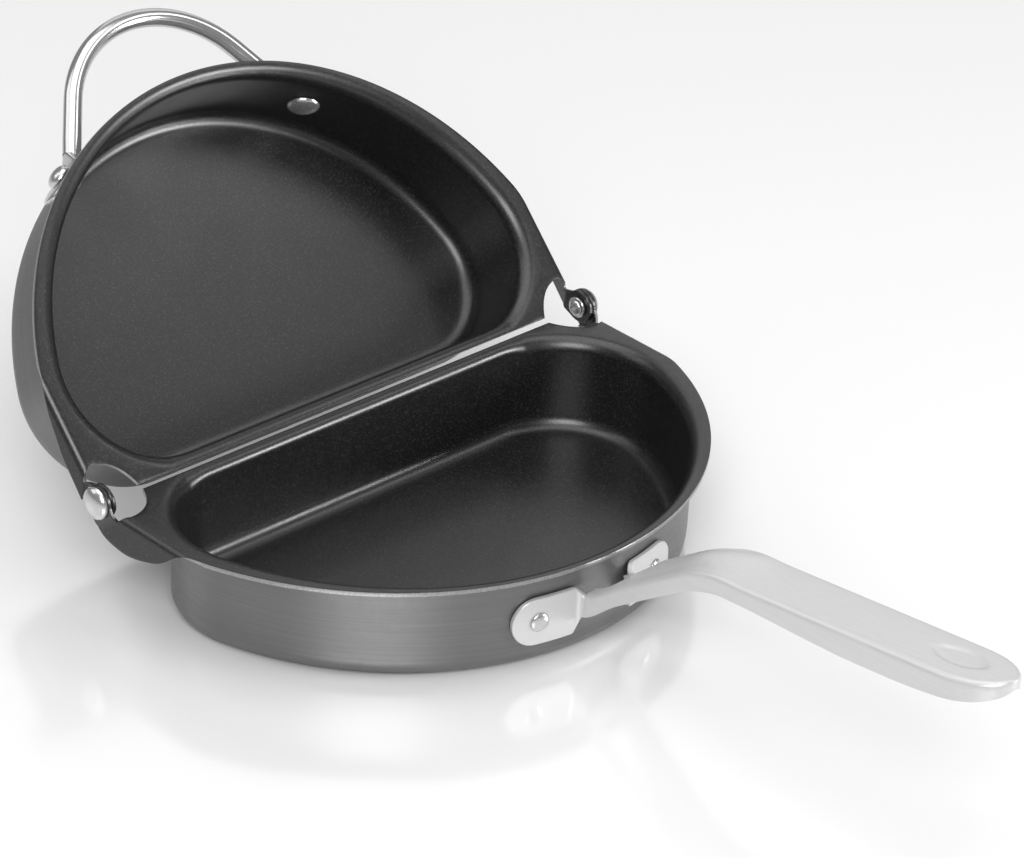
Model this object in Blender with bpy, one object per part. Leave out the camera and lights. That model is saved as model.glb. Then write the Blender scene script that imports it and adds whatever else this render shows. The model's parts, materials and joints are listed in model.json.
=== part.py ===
"""Double sided flip pan: two matching D-shaped pans hinged along their straight sides.

The lower pan carries the long handle and the hinge rivets, the upper pan carries the loop handle.
Lengths are in metres, +Z is up. The origin is the middle of the lower pan's flat base, +X runs
along the hinge and +Y points from the long handle to the hinge. Both pans are drawn in the same
half frame, whose origin is on the hinge axis, with the bowl hanging below it and the round front
towards -Y. The upper half is that frame turned about Z and tilted up, as the photograph shows it.
"""
import math

import bmesh
import bpy
from mathutils import Vector

# Sheet, clearances and cuts
SHEET = 0.0016
GAP = 0.0003
HINGE_CLEARANCE = 0.0003
OVERRUN = 0.004
EMBED = 0.0001

# Bowl of either pan, outside sizes
BODY_RADIUS = 0.11145
BODY_DEPTH = 0.1274
BODY_CORNER_RADIUS = 0.037
PAN_HEIGHT = 0.0393
BASE_EDGE_RADIUS = 0.0074
SHOULDER_RADIUS = 0.0036
BACK_WALL_TO_AXIS = 0.0036

# Lip round the rim
RIM_TO_AXIS = 0.00107
RIM_GROWTH = 0.01095
FRONT_LIP = 0.0042
BACK_LIP_TO_AXIS = 0.0009
FOLD_INSET = 0.0037
NOTCH_TO_FOLD = 0.0052
NOTCH_WIDTH = 0.0135
NOTCH_DEPTH = 0.0123
LIP_BLANK = 0.03
NOTCH_CONTROL_SHARES = (0.33, 0.9)

# Corner skirts, folded down from the lip, and the hinge ears on them
SKIRT_LEAN = math.radians(10)
LOWER_SKIRT_PAST_AXIS = 0.0008
LOWER_SKIRT_DEPTH = 0.012
LOWER_SKIRT_SHARES = ((0, 0), (0.2, 0.63), (0.37, 0.86), (0.55, 1), (0.7, 1), (0.88, 0.88), (1, 0.64))
UPPER_SKIRT_PAST_AXIS = -0.0042
UPPER_SKIRT_DEPTH = 0.0075
UPPER_SKIRT_SHARES = ((0, 0), (0.07, 0.28), (0.2, 0.49), (0.43, 0.73), (0.6, 0.88), (1, 1))
SKIRT_NECK_SHARES = ((0.77, 1.9), (0.5, 4.2))
EAR_RADIUS = 0.0064
EAR_OFFSET = 0.0013
EAR_NECK_REACH = 0.0118
EAR_NECK_HALF_WIDTH = 0.0042
EAR_NECK_ANGLE = math.radians(38)
EAR_JOGGLE_START = 0.0075
EAR_JOGGLE_END = 0.0100

# Hinge rivets and their washers
HINGE_SHANK_RADIUS = 0.002
HINGE_HEAD_RADIUS = 0.0062
HINGE_HEAD_HEIGHT = 0.0031
HINGE_TAIL_RADIUS = 0.0031
HINGE_TAIL_HEIGHT = 0.0014
WASHER_RADIUS = 0.0041
WASHER_THICKNESS = 0.001
LID_TILT = math.radians(45.31)

# Long handle: a pressed channel that splits into two legs
HANDLE_SHEET = 0.0018
HANDLE_HALF_WIDTH = 0.0124
HANDLE_EDGE_RADIUS = 0.0026
HANDLE_REACH = 0.182
HANDLE_ROOT_HEIGHT = 0.026
FOOT_ANGLE = math.radians(12)
NECK_ANGLE = math.radians(34.9)
GRIP_ANGLE = math.radians(6.65)
FOOT_BEND_AT = 0.007
FOOT_BEND_LENGTH = 0.008
NECK_BEND_AT = 0.0558
NECK_BEND_LENGTH = 0.022
CROWN_HEIGHT = 0.0052
CROWN_RISE_LENGTH = 0.028
CROWN_FALL_AT = 0.042
CROWN_FALL_LENGTH = 0.034
GRIP_CROWN_SHARE = 0.15
LEG_SIDE_HEIGHT = 0.0066
GRIP_SIDE_HEIGHT = 0.0098
TIP_SIDE_HEIGHT = 0.003
GRIP_SWELL_AT = 0.062
GRIP_SWELL_LENGTH = 0.066
GRIP_FALL_LENGTH = 0.044
TIP_LENGTH = 0.021
SLIT_LENGTH = 0.035
SLIT_HALF_WIDTH = 0.0083
SLIT_END_RADIUS = 0.0012
DIMPLE_TO_TIP = 0.0232
DIMPLE_LENGTH = 0.0245
DIMPLE_WIDTH = 0.0112
DIMPLE_DEPTH = 0.0009
DIMPLE_EDGE_SHARE = 0.3

# Ears that hold the long handle on the wall
HANDLE_EAR_HALF_HEIGHT = 0.0094
HANDLE_EAR_LEVEL = 0.0193
HANDLE_EAR_ANGLE = math.radians(19.9)
HANDLE_RIVET_ANGLE = math.radians(14.5)
HANDLE_BEND_RADIUS = 0.0026
LEG_TONGUE_LENGTH = 0.005

# Loop handle: a bent rod with flattened ends
ROD_RADIUS = 0.0035
LOOP_REACH = 0.0341
LOOP_LEG_ANGLE = math.radians(59.4)
LOOP_DROP = 0.0191
SPADE_HALF_THICKNESS = 0.0014
SPADE_HALF_WIDTH = 0.0068
SPADE_TOUCH_ANGLE = math.radians(26)
SPADE_FLAT_ANGLE = math.radians(28.2)
SPADE_END_ANGLE = math.radians(37)
LOOP_RIVET_ANGLE = math.radians(31)

# Rivets of both handles
RIVET_SHANK_RADIUS = 0.0022
INNER_HEAD_RADIUS = 0.0064
INNER_HEAD_HEIGHT = 0.0026
HANDLE_HEAD_RADIUS = 0.0036
HANDLE_HEAD_HEIGHT = 0.0012
LOOP_HEAD_RADIUS = 0.005
LOOP_HEAD_HEIGHT = 0.003

# Facets
FRONT_SEGMENTS = 44
RIM_SEGMENTS = 45
CORNER_SEGMENTS = 14
FILLET_SEGMENTS = 4
ROUND_SEGMENTS = 20
ROD_SIDES = 12
BEND_SEGMENTS = 14
SPADE_SEGMENTS = 9
SHARP_ANGLE = math.radians(32)

# Worked out from the sizes above
HINGE_Z = PAN_HEIGHT + RIM_TO_AXIS
HINGE_Y = BODY_DEPTH / 2 + BACK_WALL_TO_AXIS
BODY_CENTRE_Y = BODY_RADIUS - BODY_DEPTH - BACK_WALL_TO_AXIS
RIM_RADIUS = BODY_RADIUS + RIM_GROWTH
RIM_CENTRE_Y = RIM_RADIUS - FRONT_LIP - BODY_DEPTH - BACK_WALL_TO_AXIS
FOLD_HALF_WIDTH = RIM_RADIUS - FOLD_INSET
FOLD_FRONT_Y = RIM_CENTRE_Y - math.sqrt(RIM_RADIUS ** 2 - FOLD_HALF_WIDTH ** 2)
FOLD_BACK_Y = -BACK_LIP_TO_AXIS - NOTCH_DEPTH
RIM_Z = -RIM_TO_AXIS
BASE_Z = -HINGE_Z
LOWER_EAR_X = FOLD_HALF_WIDTH + EAR_OFFSET
UPPER_EAR_X = LOWER_EAR_X - SHEET - GAP


def clear_scene():
    for item in list(bpy.data.objects):
        bpy.data.objects.remove(item, do_unlink=True)


def finish(name, colour, roughness, metallic):
    """A plain Principled material with the colour and gloss of the photographed surface."""
    material = bpy.data.materials.new(name)
    material.use_nodes = True
    shader = material.node_tree.nodes["Principled BSDF"]
    shader.inputs["Base Color"].default_value = (*colour, 1)
    shader.inputs["Roughness"].default_value = roughness
    shader.inputs["Metallic"].default_value = metallic
    return material


def empty(name, location, rotation, parent=None):
    item = bpy.data.objects.new(name, None)
    bpy.context.scene.collection.objects.link(item)
    item.location = location
    item.rotation_euler = rotation
    item.parent = parent
    return item


def make_object(name, bm, parent, material=None):
    """Turns a finished bmesh into an object with outward faces and smooth round surfaces."""
    bmesh.ops.remove_doubles(bm, verts=bm.verts, dist=EMBED / 100)
    bmesh.ops.dissolve_degenerate(bm, edges=bm.edges, dist=EMBED / 100)
    bmesh.ops.recalc_face_normals(bm, faces=bm.faces)
    mesh = bpy.data.meshes.new(name)
    bm.to_mesh(mesh)
    bm.free()
    if material:
        mesh.materials.append(material)
    mesh.shade_smooth()
    mesh.set_sharp_from_angle(angle=SHARP_ANGLE)
    item = bpy.data.objects.new(name, mesh)
    bpy.context.scene.collection.objects.link(item)
    item.parent = parent
    return item


def combine(target, tool, operation):
    """Joins, cuts or trims a solid by a tool shape, and keeps the result as the solid's own mesh."""
    modifier = target.modifiers.new(tool.name, "BOOLEAN")
    modifier.operation = operation
    modifier.object = tool
    modifier.solver = "EXACT"
    evaluated = target.evaluated_get(bpy.context.evaluated_depsgraph_get())
    mesh = bpy.data.meshes.new_from_object(evaluated)
    target.modifiers.clear()
    target.data = mesh
    mesh.set_sharp_from_angle(angle=SHARP_ANGLE)
    bpy.data.objects.remove(tool, do_unlink=True)


def stack(bm, rings):
    """Joins equal rings of points with bands of faces and closes both ends."""
    loops = [[bm.verts.new(point) for point in ring] for ring in rings]
    for low, high in zip(loops, loops[1:]):
        for index in range(len(low)):
            following = (index + 1) % len(low)
            bm.faces.new((low[index], low[following], high[following], high[index]))
    bm.faces.new(reversed(loops[0]))
    bm.faces.new(loops[-1])


def prism(name, outline, low, high, place, parent):
    """A flat outline extruded between two levels, where place turns (a, b, level) into a point."""
    bm = bmesh.new()
    stack(bm, [[place(a, b, level) for a, b in outline] for level in (low, high)])
    return make_object(name, bm, parent)


def turned(name, profile, origin, direction, parent, material=None):
    """A solid of revolution. The profile lists (radius, distance along the direction)."""
    along = Vector(direction).normalized()
    turn = along.to_track_quat("Z", "Y").to_matrix()
    rings = []
    for radius, distance in profile:
        ring = []
        for step in range(ROUND_SEGMENTS):
            angle = math.tau * step / ROUND_SEGMENTS
            offset = Vector((radius * math.cos(angle), radius * math.sin(angle), distance))
            ring.append(Vector(origin) + turn @ offset)
        rings.append(ring)
    bm = bmesh.new()
    stack(bm, rings)
    return make_object(name, bm, parent, material)


def arc(centre, radius, start, end, steps):
    """Points on a circle, both ends included."""
    points = []
    for step in range(steps + 1):
        angle = start + (end - start) * step / steps
        points.append((centre[0] + radius * math.cos(angle), centre[1] + radius * math.sin(angle)))
    return points


def smooth(value):
    """Eases from 0 to 1."""
    value = min(max(value, 0), 1)
    return value * value * (3 - 2 * value)


# Bowls

def body_outline(offset):
    """The D-shaped wall outline grown by an offset, the same count of points for every offset."""
    corner_y = -BACK_WALL_TO_AXIS - BODY_CORNER_RADIUS
    corner_run = BODY_RADIUS - BODY_CORNER_RADIUS
    corner_x = math.sqrt(corner_run ** 2 - (corner_y - BODY_CENTRE_Y) ** 2)
    meet = math.atan2(corner_y - BODY_CENTRE_Y, corner_x)
    centre = (0, BODY_CENTRE_Y)
    radius = BODY_CORNER_RADIUS + offset
    front = arc(centre, BODY_RADIUS + offset, -math.pi - meet, meet, FRONT_SEGMENTS)
    right = arc((corner_x, corner_y), radius, meet, math.pi / 2, CORNER_SEGMENTS)
    left = arc((-corner_x, corner_y), radius, math.pi / 2, math.pi - meet, CORNER_SEGMENTS)
    return front + right[1:] + left[:-1]


def bowl_profile():
    """(offset, height) pairs from the outer base, over the lip and down to the inner base."""
    inner_edge = BASE_EDGE_RADIUS - SHEET
    under = SHOULDER_RADIUS - SHEET
    turns = [math.pi / 2 * step / FILLET_SEGMENTS for step in range(FILLET_SEGMENTS + 1)]
    pairs = []
    for turn in turns:
        height = BASE_Z + BASE_EDGE_RADIUS * (1 - math.cos(turn))
        pairs.append((BASE_EDGE_RADIUS * (math.sin(turn) - 1), height))
    for turn in turns:
        height = RIM_Z - SHEET - under * (1 - math.sin(turn))
        pairs.append((under * (1 - math.cos(turn)), height))
    pairs.append((LIP_BLANK, RIM_Z - SHEET))
    pairs.append((LIP_BLANK, RIM_Z))
    for turn in reversed(turns):
        height = RIM_Z - SHOULDER_RADIUS * (1 - math.sin(turn))
        pairs.append((under - SHOULDER_RADIUS * math.cos(turn), height))
    for turn in reversed(turns):
        height = BASE_Z + SHEET + inner_edge * (1 - math.cos(turn))
        pairs.append((-SHEET - inner_edge * (1 - math.sin(turn)), height))
    return pairs


def rim_outline():
    """The cut edge of the lip: round front, straight folds, and a notch at each hinge ear."""
    meet = math.atan2(FOLD_FRONT_Y - RIM_CENTRE_Y, FOLD_HALF_WIDTH)
    front = arc((0, RIM_CENTRE_Y), RIM_RADIUS, -math.pi - meet, meet, RIM_SEGMENTS)
    end = Vector((FOLD_HALF_WIDTH - NOTCH_TO_FOLD, FOLD_BACK_Y))
    start = end + Vector((-NOTCH_WIDTH, NOTCH_DEPTH))
    across, down = NOTCH_CONTROL_SHARES
    control = start + Vector((NOTCH_WIDTH * across, -NOTCH_DEPTH * down))
    right = [(FOLD_HALF_WIDTH, FOLD_BACK_Y)]
    for step in range(CORNER_SEGMENTS + 1):
        share = 1 - step / CORNER_SEGMENTS
        point = start * (1 - share) ** 2 + control * 2 * share * (1 - share) + end * share ** 2
        right.append((point.x, point.y))
    left = [(-x, y) for x, y in reversed(right)]
    return front + right + left


def skirt_outline(past_axis, depth, shares):
    """(distance from the axis towards the front, depth below the rim) round one folded skirt."""
    length = past_axis - FOLD_FRONT_Y
    bottom = [(FOLD_FRONT_Y + length * along, depth * down) for along, down in shares]
    neck = [(FOLD_BACK_Y * along, RIM_TO_AXIS * down) for along, down in SKIRT_NECK_SHARES]
    return bottom + list(reversed(neck)) + [(FOLD_BACK_Y, 0)]


def skirt(name, side, past_axis, depth, shares, parent):
    """A sheet folded down from the lip that leans outwards."""
    def place(y, down, outward):
        x = FOLD_HALF_WIDTH - SHEET + outward + down * math.tan(SKIRT_LEAN)
        return Vector((side * x, y, RIM_Z - EMBED - down))
    return prism(name, skirt_outline(past_axis, depth, shares), 0, SHEET - EMBED, place, parent)


def ear(name, side, outer_x, skirt_x, parent):
    """The round hinge ear and its neck. The neck steps sideways where the ear lies further in."""
    reach = Vector((-math.cos(EAR_NECK_ANGLE), -math.sin(EAR_NECK_ANGLE)))
    across = Vector((-reach.y, reach.x))
    stations = [0, EAR_RADIUS, EAR_JOGGLE_START, EAR_JOGGLE_END, EAR_NECK_REACH]
    bm = bmesh.new()
    rings = []
    for station in stations:
        share = smooth((station - EAR_JOGGLE_START) / (EAR_JOGGLE_END - EAR_JOGGLE_START))
        outer = outer_x + (skirt_x - outer_x) * share
        half = EAR_NECK_HALF_WIDTH
        ring = []
        for level, edge in ((outer, half), (outer, -half), (outer - SHEET, -half), (outer - SHEET, half)):
            spot = reach * station + across * edge
            ring.append(Vector((side * level, spot.x, spot.y)))
        rings.append(ring)
    stack(bm, rings)
    neck = make_object(name + "_neck", bm, parent)
    disc = turned(name + "_disc", ((EAR_RADIUS, -EMBED), (EAR_RADIUS, SHEET - EMBED * 2)),
                  (side * (outer_x - SHEET), 0, 0), (side, 0, 0), parent)
    return disc, neck


def wall_point(angle, radius, height):
    """A point at a bearing round the bowl's front, where 0 is straight ahead."""
    return Vector((radius * math.sin(angle), BODY_CENTRE_Y - radius * math.cos(angle), height))


def drill(name, centre, direction, radius, parent):
    """A round cutter for a rivet hole."""
    length = SHEET * 2 + OVERRUN
    profile = ((radius, -length), (radius, length))
    return turned(name, profile, centre, direction, parent)


def pan(name, parent, material, skirt_sizes, ear_x, rivet_angle, rivet_level):
    bm = bmesh.new()
    rings = []
    for offset, height in bowl_profile():
        rings.append([Vector((x, y, height)) for x, y in body_outline(offset)])
    stack(bm, rings)
    shell = make_object(name, bm, parent, material)
    trim = prism(name + "_trim", rim_outline(), BASE_Z - OVERRUN, RIM_Z + OVERRUN,
                 lambda x, y, level: Vector((x, y, level)), parent)
    combine(shell, trim, "INTERSECT")
    for side, word in ((-1, "left"), (1, "right")):
        combine(shell, skirt(f"{name}_skirt_{word}", side, *skirt_sizes, parent), "UNION")
        disc, neck = ear(f"{name}_ear_{word}", side, ear_x, LOWER_EAR_X - EAR_OFFSET / 2, parent)
        combine(neck, disc, "UNION")
        combine(shell, neck, "UNION")
        hole = drill(f"{name}_hinge_hole_{word}", (side * ear_x, 0, 0), (1, 0, 0),
                     HINGE_SHANK_RADIUS + HINGE_CLEARANCE, parent)
        combine(shell, hole, "DIFFERENCE")
        bearing = side * rivet_angle
        out = wall_point(bearing, 1, 0) - wall_point(bearing, 0, 0)
        hole = drill(f"{name}_rivet_hole_{word}", wall_point(bearing, BODY_RADIUS, rivet_level), out,
                     RIVET_SHANK_RADIUS + GAP, parent)
        combine(shell, hole, "DIFFERENCE")
    return shell


# Rivets

def dome(radius, height, base, sign):
    """Profile points of a shallow domed head, from its rim to just short of its middle."""
    points = []
    for step in range(FILLET_SEGMENTS + 1):
        turn = math.pi / 2 * step / (FILLET_SEGMENTS + 1)
        points.append((radius * math.cos(turn), base + sign * height * math.sin(turn)))
    return points


def two_headed_rivet(name, origin, direction, shank, inner, outer, parent, material):
    """A rivet with a head at both ends. inner and outer give (seat, head radius, head height)."""
    low = list(reversed(dome(inner[1], inner[2], -inner[0], -1)))
    high = dome(outer[1], outer[2], outer[0], 1)
    middle = [(shank, -inner[0]), (shank, outer[0])]
    return turned(name, low + middle + high, origin, direction, parent, material)


def hinge_rivet(side, word, parent, material):
    tail_seat = SHEET * 2 + GAP * 3 + WASHER_THICKNESS
    origin = (side * LOWER_EAR_X, 0, 0)
    return two_headed_rivet(f"hinge_rivet_{word}", origin, (side, 0, 0), HINGE_SHANK_RADIUS,
                            (tail_seat, HINGE_TAIL_RADIUS, HINGE_TAIL_HEIGHT),
                            (GAP, HINGE_HEAD_RADIUS, HINGE_HEAD_HEIGHT), parent, material)


def hinge_washer(side, word, parent, material):
    outer = SHEET * 2 + GAP * 2
    profile = ((WASHER_RADIUS, -outer - WASHER_THICKNESS), (WASHER_RADIUS, -outer))
    origin = (side * LOWER_EAR_X, 0, 0)
    washer = turned(f"hinge_washer_{word}", profile, origin, (side, 0, 0), parent, material)
    hole = drill(f"hinge_washer_hole_{word}", (side * UPPER_EAR_X, 0, 0), (1, 0, 0),
                 HINGE_SHANK_RADIUS + HINGE_CLEARANCE, parent)
    combine(washer, hole, "DIFFERENCE")
    return washer


def wall_rivet(name, bearing, level, plate, head, parent, material):
    """A rivet through the bowl's wall and a plate outside it."""
    out = wall_point(bearing, 1, 0) - wall_point(bearing, 0, 0)
    sagitta = INNER_HEAD_RADIUS ** 2 / (2 * BODY_RADIUS)
    return two_headed_rivet(name, wall_point(bearing, BODY_RADIUS, level), out, RIVET_SHANK_RADIUS,
                            (SHEET + GAP + sagitta, INNER_HEAD_RADIUS, INNER_HEAD_HEIGHT),
                            (plate + GAP * 2, *head), parent, material)


# Long handle

def bend_ramp(distance, length):
    """The extra rise after a bend that is spread over a length."""
    half = length / 2
    if distance <= -half:
        return 0
    if distance >= half:
        return distance
    return (distance + half) ** 2 / (2 * length)


def handle_edge(run):
    """Height above the floor of the channel's long edges at a distance out from the wall."""
    foot = math.tan(FOOT_ANGLE)
    neck = math.tan(NECK_ANGLE)
    grip = math.tan(GRIP_ANGLE)
    height = HANDLE_ROOT_HEIGHT + foot * run
    height += (neck - foot) * bend_ramp(run - FOOT_BEND_AT, FOOT_BEND_LENGTH)
    return height + (grip - neck) * bend_ramp(run - NECK_BEND_AT, NECK_BEND_LENGTH)


def handle_slope(run):
    return (handle_edge(run + EMBED) - handle_edge(run)) / EMBED


def handle_crown(run):
    rise = smooth(run / CROWN_RISE_LENGTH)
    fall = smooth((run - CROWN_FALL_AT) / CROWN_FALL_LENGTH)
    return CROWN_HEIGHT * rise * (1 - (1 - GRIP_CROWN_SHARE) * fall)


def handle_side(run):
    """Height of the channel's side walls."""
    swell = smooth((run - GRIP_SWELL_AT) / GRIP_SWELL_LENGTH)
    height = LEG_SIDE_HEIGHT + (GRIP_SIDE_HEIGHT - LEG_SIDE_HEIGHT) * swell
    into_fall = (run - HANDLE_REACH + GRIP_FALL_LENGTH) / GRIP_FALL_LENGTH
    if into_fall <= 0:
        return height
    round_off = math.sqrt(max(1 - into_fall ** 2, 0))
    return TIP_SIDE_HEIGHT + (height - TIP_SIDE_HEIGHT) * round_off


def dimple(x, run):
    """Depth of the pressed oval near the tip."""
    along = (run - HANDLE_REACH + DIMPLE_TO_TIP) / (DIMPLE_LENGTH / 2)
    across = x / (DIMPLE_WIDTH / 2)
    inside = 1 - math.hypot(along, across)
    return DIMPLE_DEPTH * smooth(inside / DIMPLE_EDGE_SHARE)


def channel_section(run, half_width, sink, side_end):
    """Half of a cross-section from the middle of the top to the bottom of a side wall."""
    edge_radius = min(HANDLE_EDGE_RADIUS, half_width)
    flat = half_width - edge_radius
    crown = handle_crown(run)
    points = []
    for step in range(5):
        x = flat * step / 4
        rise = crown * (1 - (x / HANDLE_HALF_WIDTH) ** 2) - dimple(x, run)
        points.append((x, handle_edge(run) + rise - sink))
    top = points[-1][1]
    for step in (1, 2, 3):
        turn = math.pi / 2 * step / 3
        points.append((flat + edge_radius * math.sin(turn), top - edge_radius * (1 - math.cos(turn))))
    points.append((half_width, side_end))
    return points


def handle_stations():
    """(distance out from the wall, turn round the tip) of each cross-section."""
    root = leg_root_run()
    tip_start = HANDLE_REACH - TIP_LENGTH
    stations = []
    near = [root + (CROWN_FALL_AT - root) * step / 8 for step in range(9)]
    bend_end = GRIP_SWELL_AT + NECK_BEND_LENGTH
    bend = [CROWN_FALL_AT + (bend_end - CROWN_FALL_AT) * step / 9 for step in range(1, 10)]
    dimple_start = HANDLE_REACH - DIMPLE_TO_TIP - DIMPLE_LENGTH / 2
    grip = [bend_end + (dimple_start - bend_end) * step / 6 for step in range(1, 7)]
    for run in near + bend + grip:
        stations.append((run, 0))
    for step in range(1, 5):
        stations.append((dimple_start + (tip_start - dimple_start) * step / 4, 0))
    for step in range(1, 15):
        stations.append((tip_start, math.pi / 2 * step / 14))
    return stations


def leg_root_run():
    """How far out the bend between ear and leg ends."""
    middle = BODY_RADIUS + GAP + HANDLE_SHEET / 2
    bend = HANDLE_BEND_RADIUS + HANDLE_SHEET / 2
    bend_x = HANDLE_HALF_WIDTH - HANDLE_SHEET / 2 + bend
    bearing = math.asin(bend_x / (middle + bend))
    return (middle + bend) * math.cos(bearing) - BODY_RADIUS


def channel(parent, material):
    """The folded sheet of grip, neck and legs as one lofted solid."""
    bm = bmesh.new()
    outer_rows = []
    inner_rows = []
    for run, turn in handle_stations():
        for rows, inset in ((outer_rows, 0), (inner_rows, HANDLE_SHEET)):
            here = run + (TIP_LENGTH - inset) * math.sin(turn)
            width = (HANDLE_HALF_WIDTH - inset) * max(math.cos(turn), 0)
            sink = inset * math.hypot(1, handle_slope(here))
            bottom = handle_edge(here) - handle_side(here)
            half = channel_section(here, width, sink, bottom)
            row = [(-x, z) for x, z in reversed(half)] + half[1:]
            y = BODY_CENTRE_Y - BODY_RADIUS - here
            rows.append([bm.verts.new(Vector((x, y, z + BASE_Z))) for x, z in row])
    count = len(outer_rows[0])
    for index in range(len(outer_rows) - 1):
        for column in range(count - 1):
            for rows in (outer_rows, inner_rows):
                bm.faces.new((rows[index][column], rows[index][column + 1],
                              rows[index + 1][column + 1], rows[index + 1][column]))
        for column in (0, count - 1):
            bm.faces.new((outer_rows[index][column], outer_rows[index + 1][column],
                          inner_rows[index + 1][column], inner_rows[index][column]))
    for column in range(count - 1):
        bm.faces.new((outer_rows[0][column], outer_rows[0][column + 1],
                      inner_rows[0][column + 1], inner_rows[0][column]))
    return make_object("long_handle", bm, parent, material)


def ribbon_stations():
    """(x, y, sideways x, sideways y, top, bottom) along one ear, its bend and a tongue in the leg."""
    middle = BODY_RADIUS + GAP + HANDLE_SHEET / 2
    bend = HANDLE_BEND_RADIUS + HANDLE_SHEET / 2
    bend_x = HANDLE_HALF_WIDTH - HANDLE_SHEET / 2 + bend
    bend_bearing = math.asin(bend_x / (middle + bend))
    bend_centre = wall_point(bend_bearing, middle + bend, 0)
    stations = []
    rounding = HANDLE_EAR_HALF_HEIGHT / middle
    for step in range(1, 8):
        turn = math.pi / 2 * step / 7
        bearing = HANDLE_EAR_ANGLE - rounding * (1 - math.cos(turn))
        stations.append((bearing, HANDLE_EAR_HALF_HEIGHT * math.sin(turn)))
    for step in range(1, 5):
        bearing = HANDLE_EAR_ANGLE - rounding
        bearing += (bend_bearing - bearing) * step / 4
        stations.append((bearing, HANDLE_EAR_HALF_HEIGHT))
    rows = []
    for bearing, half in stations:
        spot = wall_point(bearing, middle, 0)
        rows.append((spot, wall_point(bearing, 1, 0) - wall_point(bearing, 0, 0),
                     HANDLE_EAR_LEVEL + half, HANDLE_EAR_LEVEL - half))
    root = leg_root_run()
    leg_top = handle_edge(root) - HANDLE_EDGE_RADIUS / 2
    leg_bottom = handle_edge(root) - handle_side(root) + EMBED
    for step in range(1, 7):
        share = step / 6
        turn = bend_bearing + (math.pi / 2 - bend_bearing) * share
        outward = Vector((math.sin(turn), -math.cos(turn), 0))
        blend = smooth(share)
        top = HANDLE_EAR_LEVEL + HANDLE_EAR_HALF_HEIGHT
        bottom = HANDLE_EAR_LEVEL - HANDLE_EAR_HALF_HEIGHT
        rows.append((bend_centre - outward * bend, outward,
                     top + (leg_top - top) * blend, bottom + (leg_bottom - bottom) * blend))
    end = bend_centre - Vector((bend, LEG_TONGUE_LENGTH, 0))
    shift = handle_edge(root + LEG_TONGUE_LENGTH) - handle_edge(root)
    rows.append((end, Vector((1, 0, 0)), leg_top + shift, leg_bottom + shift))
    return rows


def handle_ear(side, word, parent):
    """The riveted ear, bent out of the leg's side wall."""
    bm = bmesh.new()
    half = HANDLE_SHEET / 2
    rings = []
    for index, (spot, outward, top, bottom) in enumerate(ribbon_stations()):
        inset = EMBED if index >= len(ribbon_stations()) - 2 else 0
        ring = []
        for push, level in ((half - inset, top), (half - inset, bottom),
                            (inset - half, bottom), (inset - half, top)):
            point = spot + outward * push
            ring.append(Vector((side * point.x, point.y, BASE_Z + level)))
        rings.append(ring)
    stack(bm, rings)
    return make_object(f"long_handle_ear_{word}", bm, parent)


def slit_outline():
    """The V-shaped opening between the legs, rounded at its point."""
    start_y = BODY_CENTRE_Y - BODY_RADIUS + OVERRUN
    end_y = BODY_CENTRE_Y - BODY_RADIUS - SLIT_LENGTH
    lean = math.atan2(SLIT_HALF_WIDTH - SLIT_END_RADIUS, SLIT_LENGTH)
    tip = arc((0, end_y), SLIT_END_RADIUS, -math.pi + lean, -lean, 6)
    return [(-SLIT_HALF_WIDTH, start_y)] + tip + [(SLIT_HALF_WIDTH, start_y)]


def long_handle(parent, material):
    handle = channel(parent, material)
    slit = prism("long_handle_slit", slit_outline(), BASE_Z, BASE_Z + HANDLE_REACH,
                 lambda x, y, level: Vector((x, y, level)), parent)
    combine(handle, slit, "DIFFERENCE")
    for side, word in ((-1, "left"), (1, "right")):
        bearing = side * HANDLE_RIVET_ANGLE
        plate = handle_ear(side, word, parent)
        out = wall_point(bearing, 1, 0) - wall_point(bearing, 0, 0)
        spot = wall_point(bearing, BODY_RADIUS, BASE_Z + HANDLE_EAR_LEVEL)
        hole = drill(f"long_handle_hole_{word}", spot, out, RIVET_SHANK_RADIUS + GAP, parent)
        combine(handle, plate, "UNION")
        combine(handle, hole, "DIFFERENCE")
    return handle


# Loop handle

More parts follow.
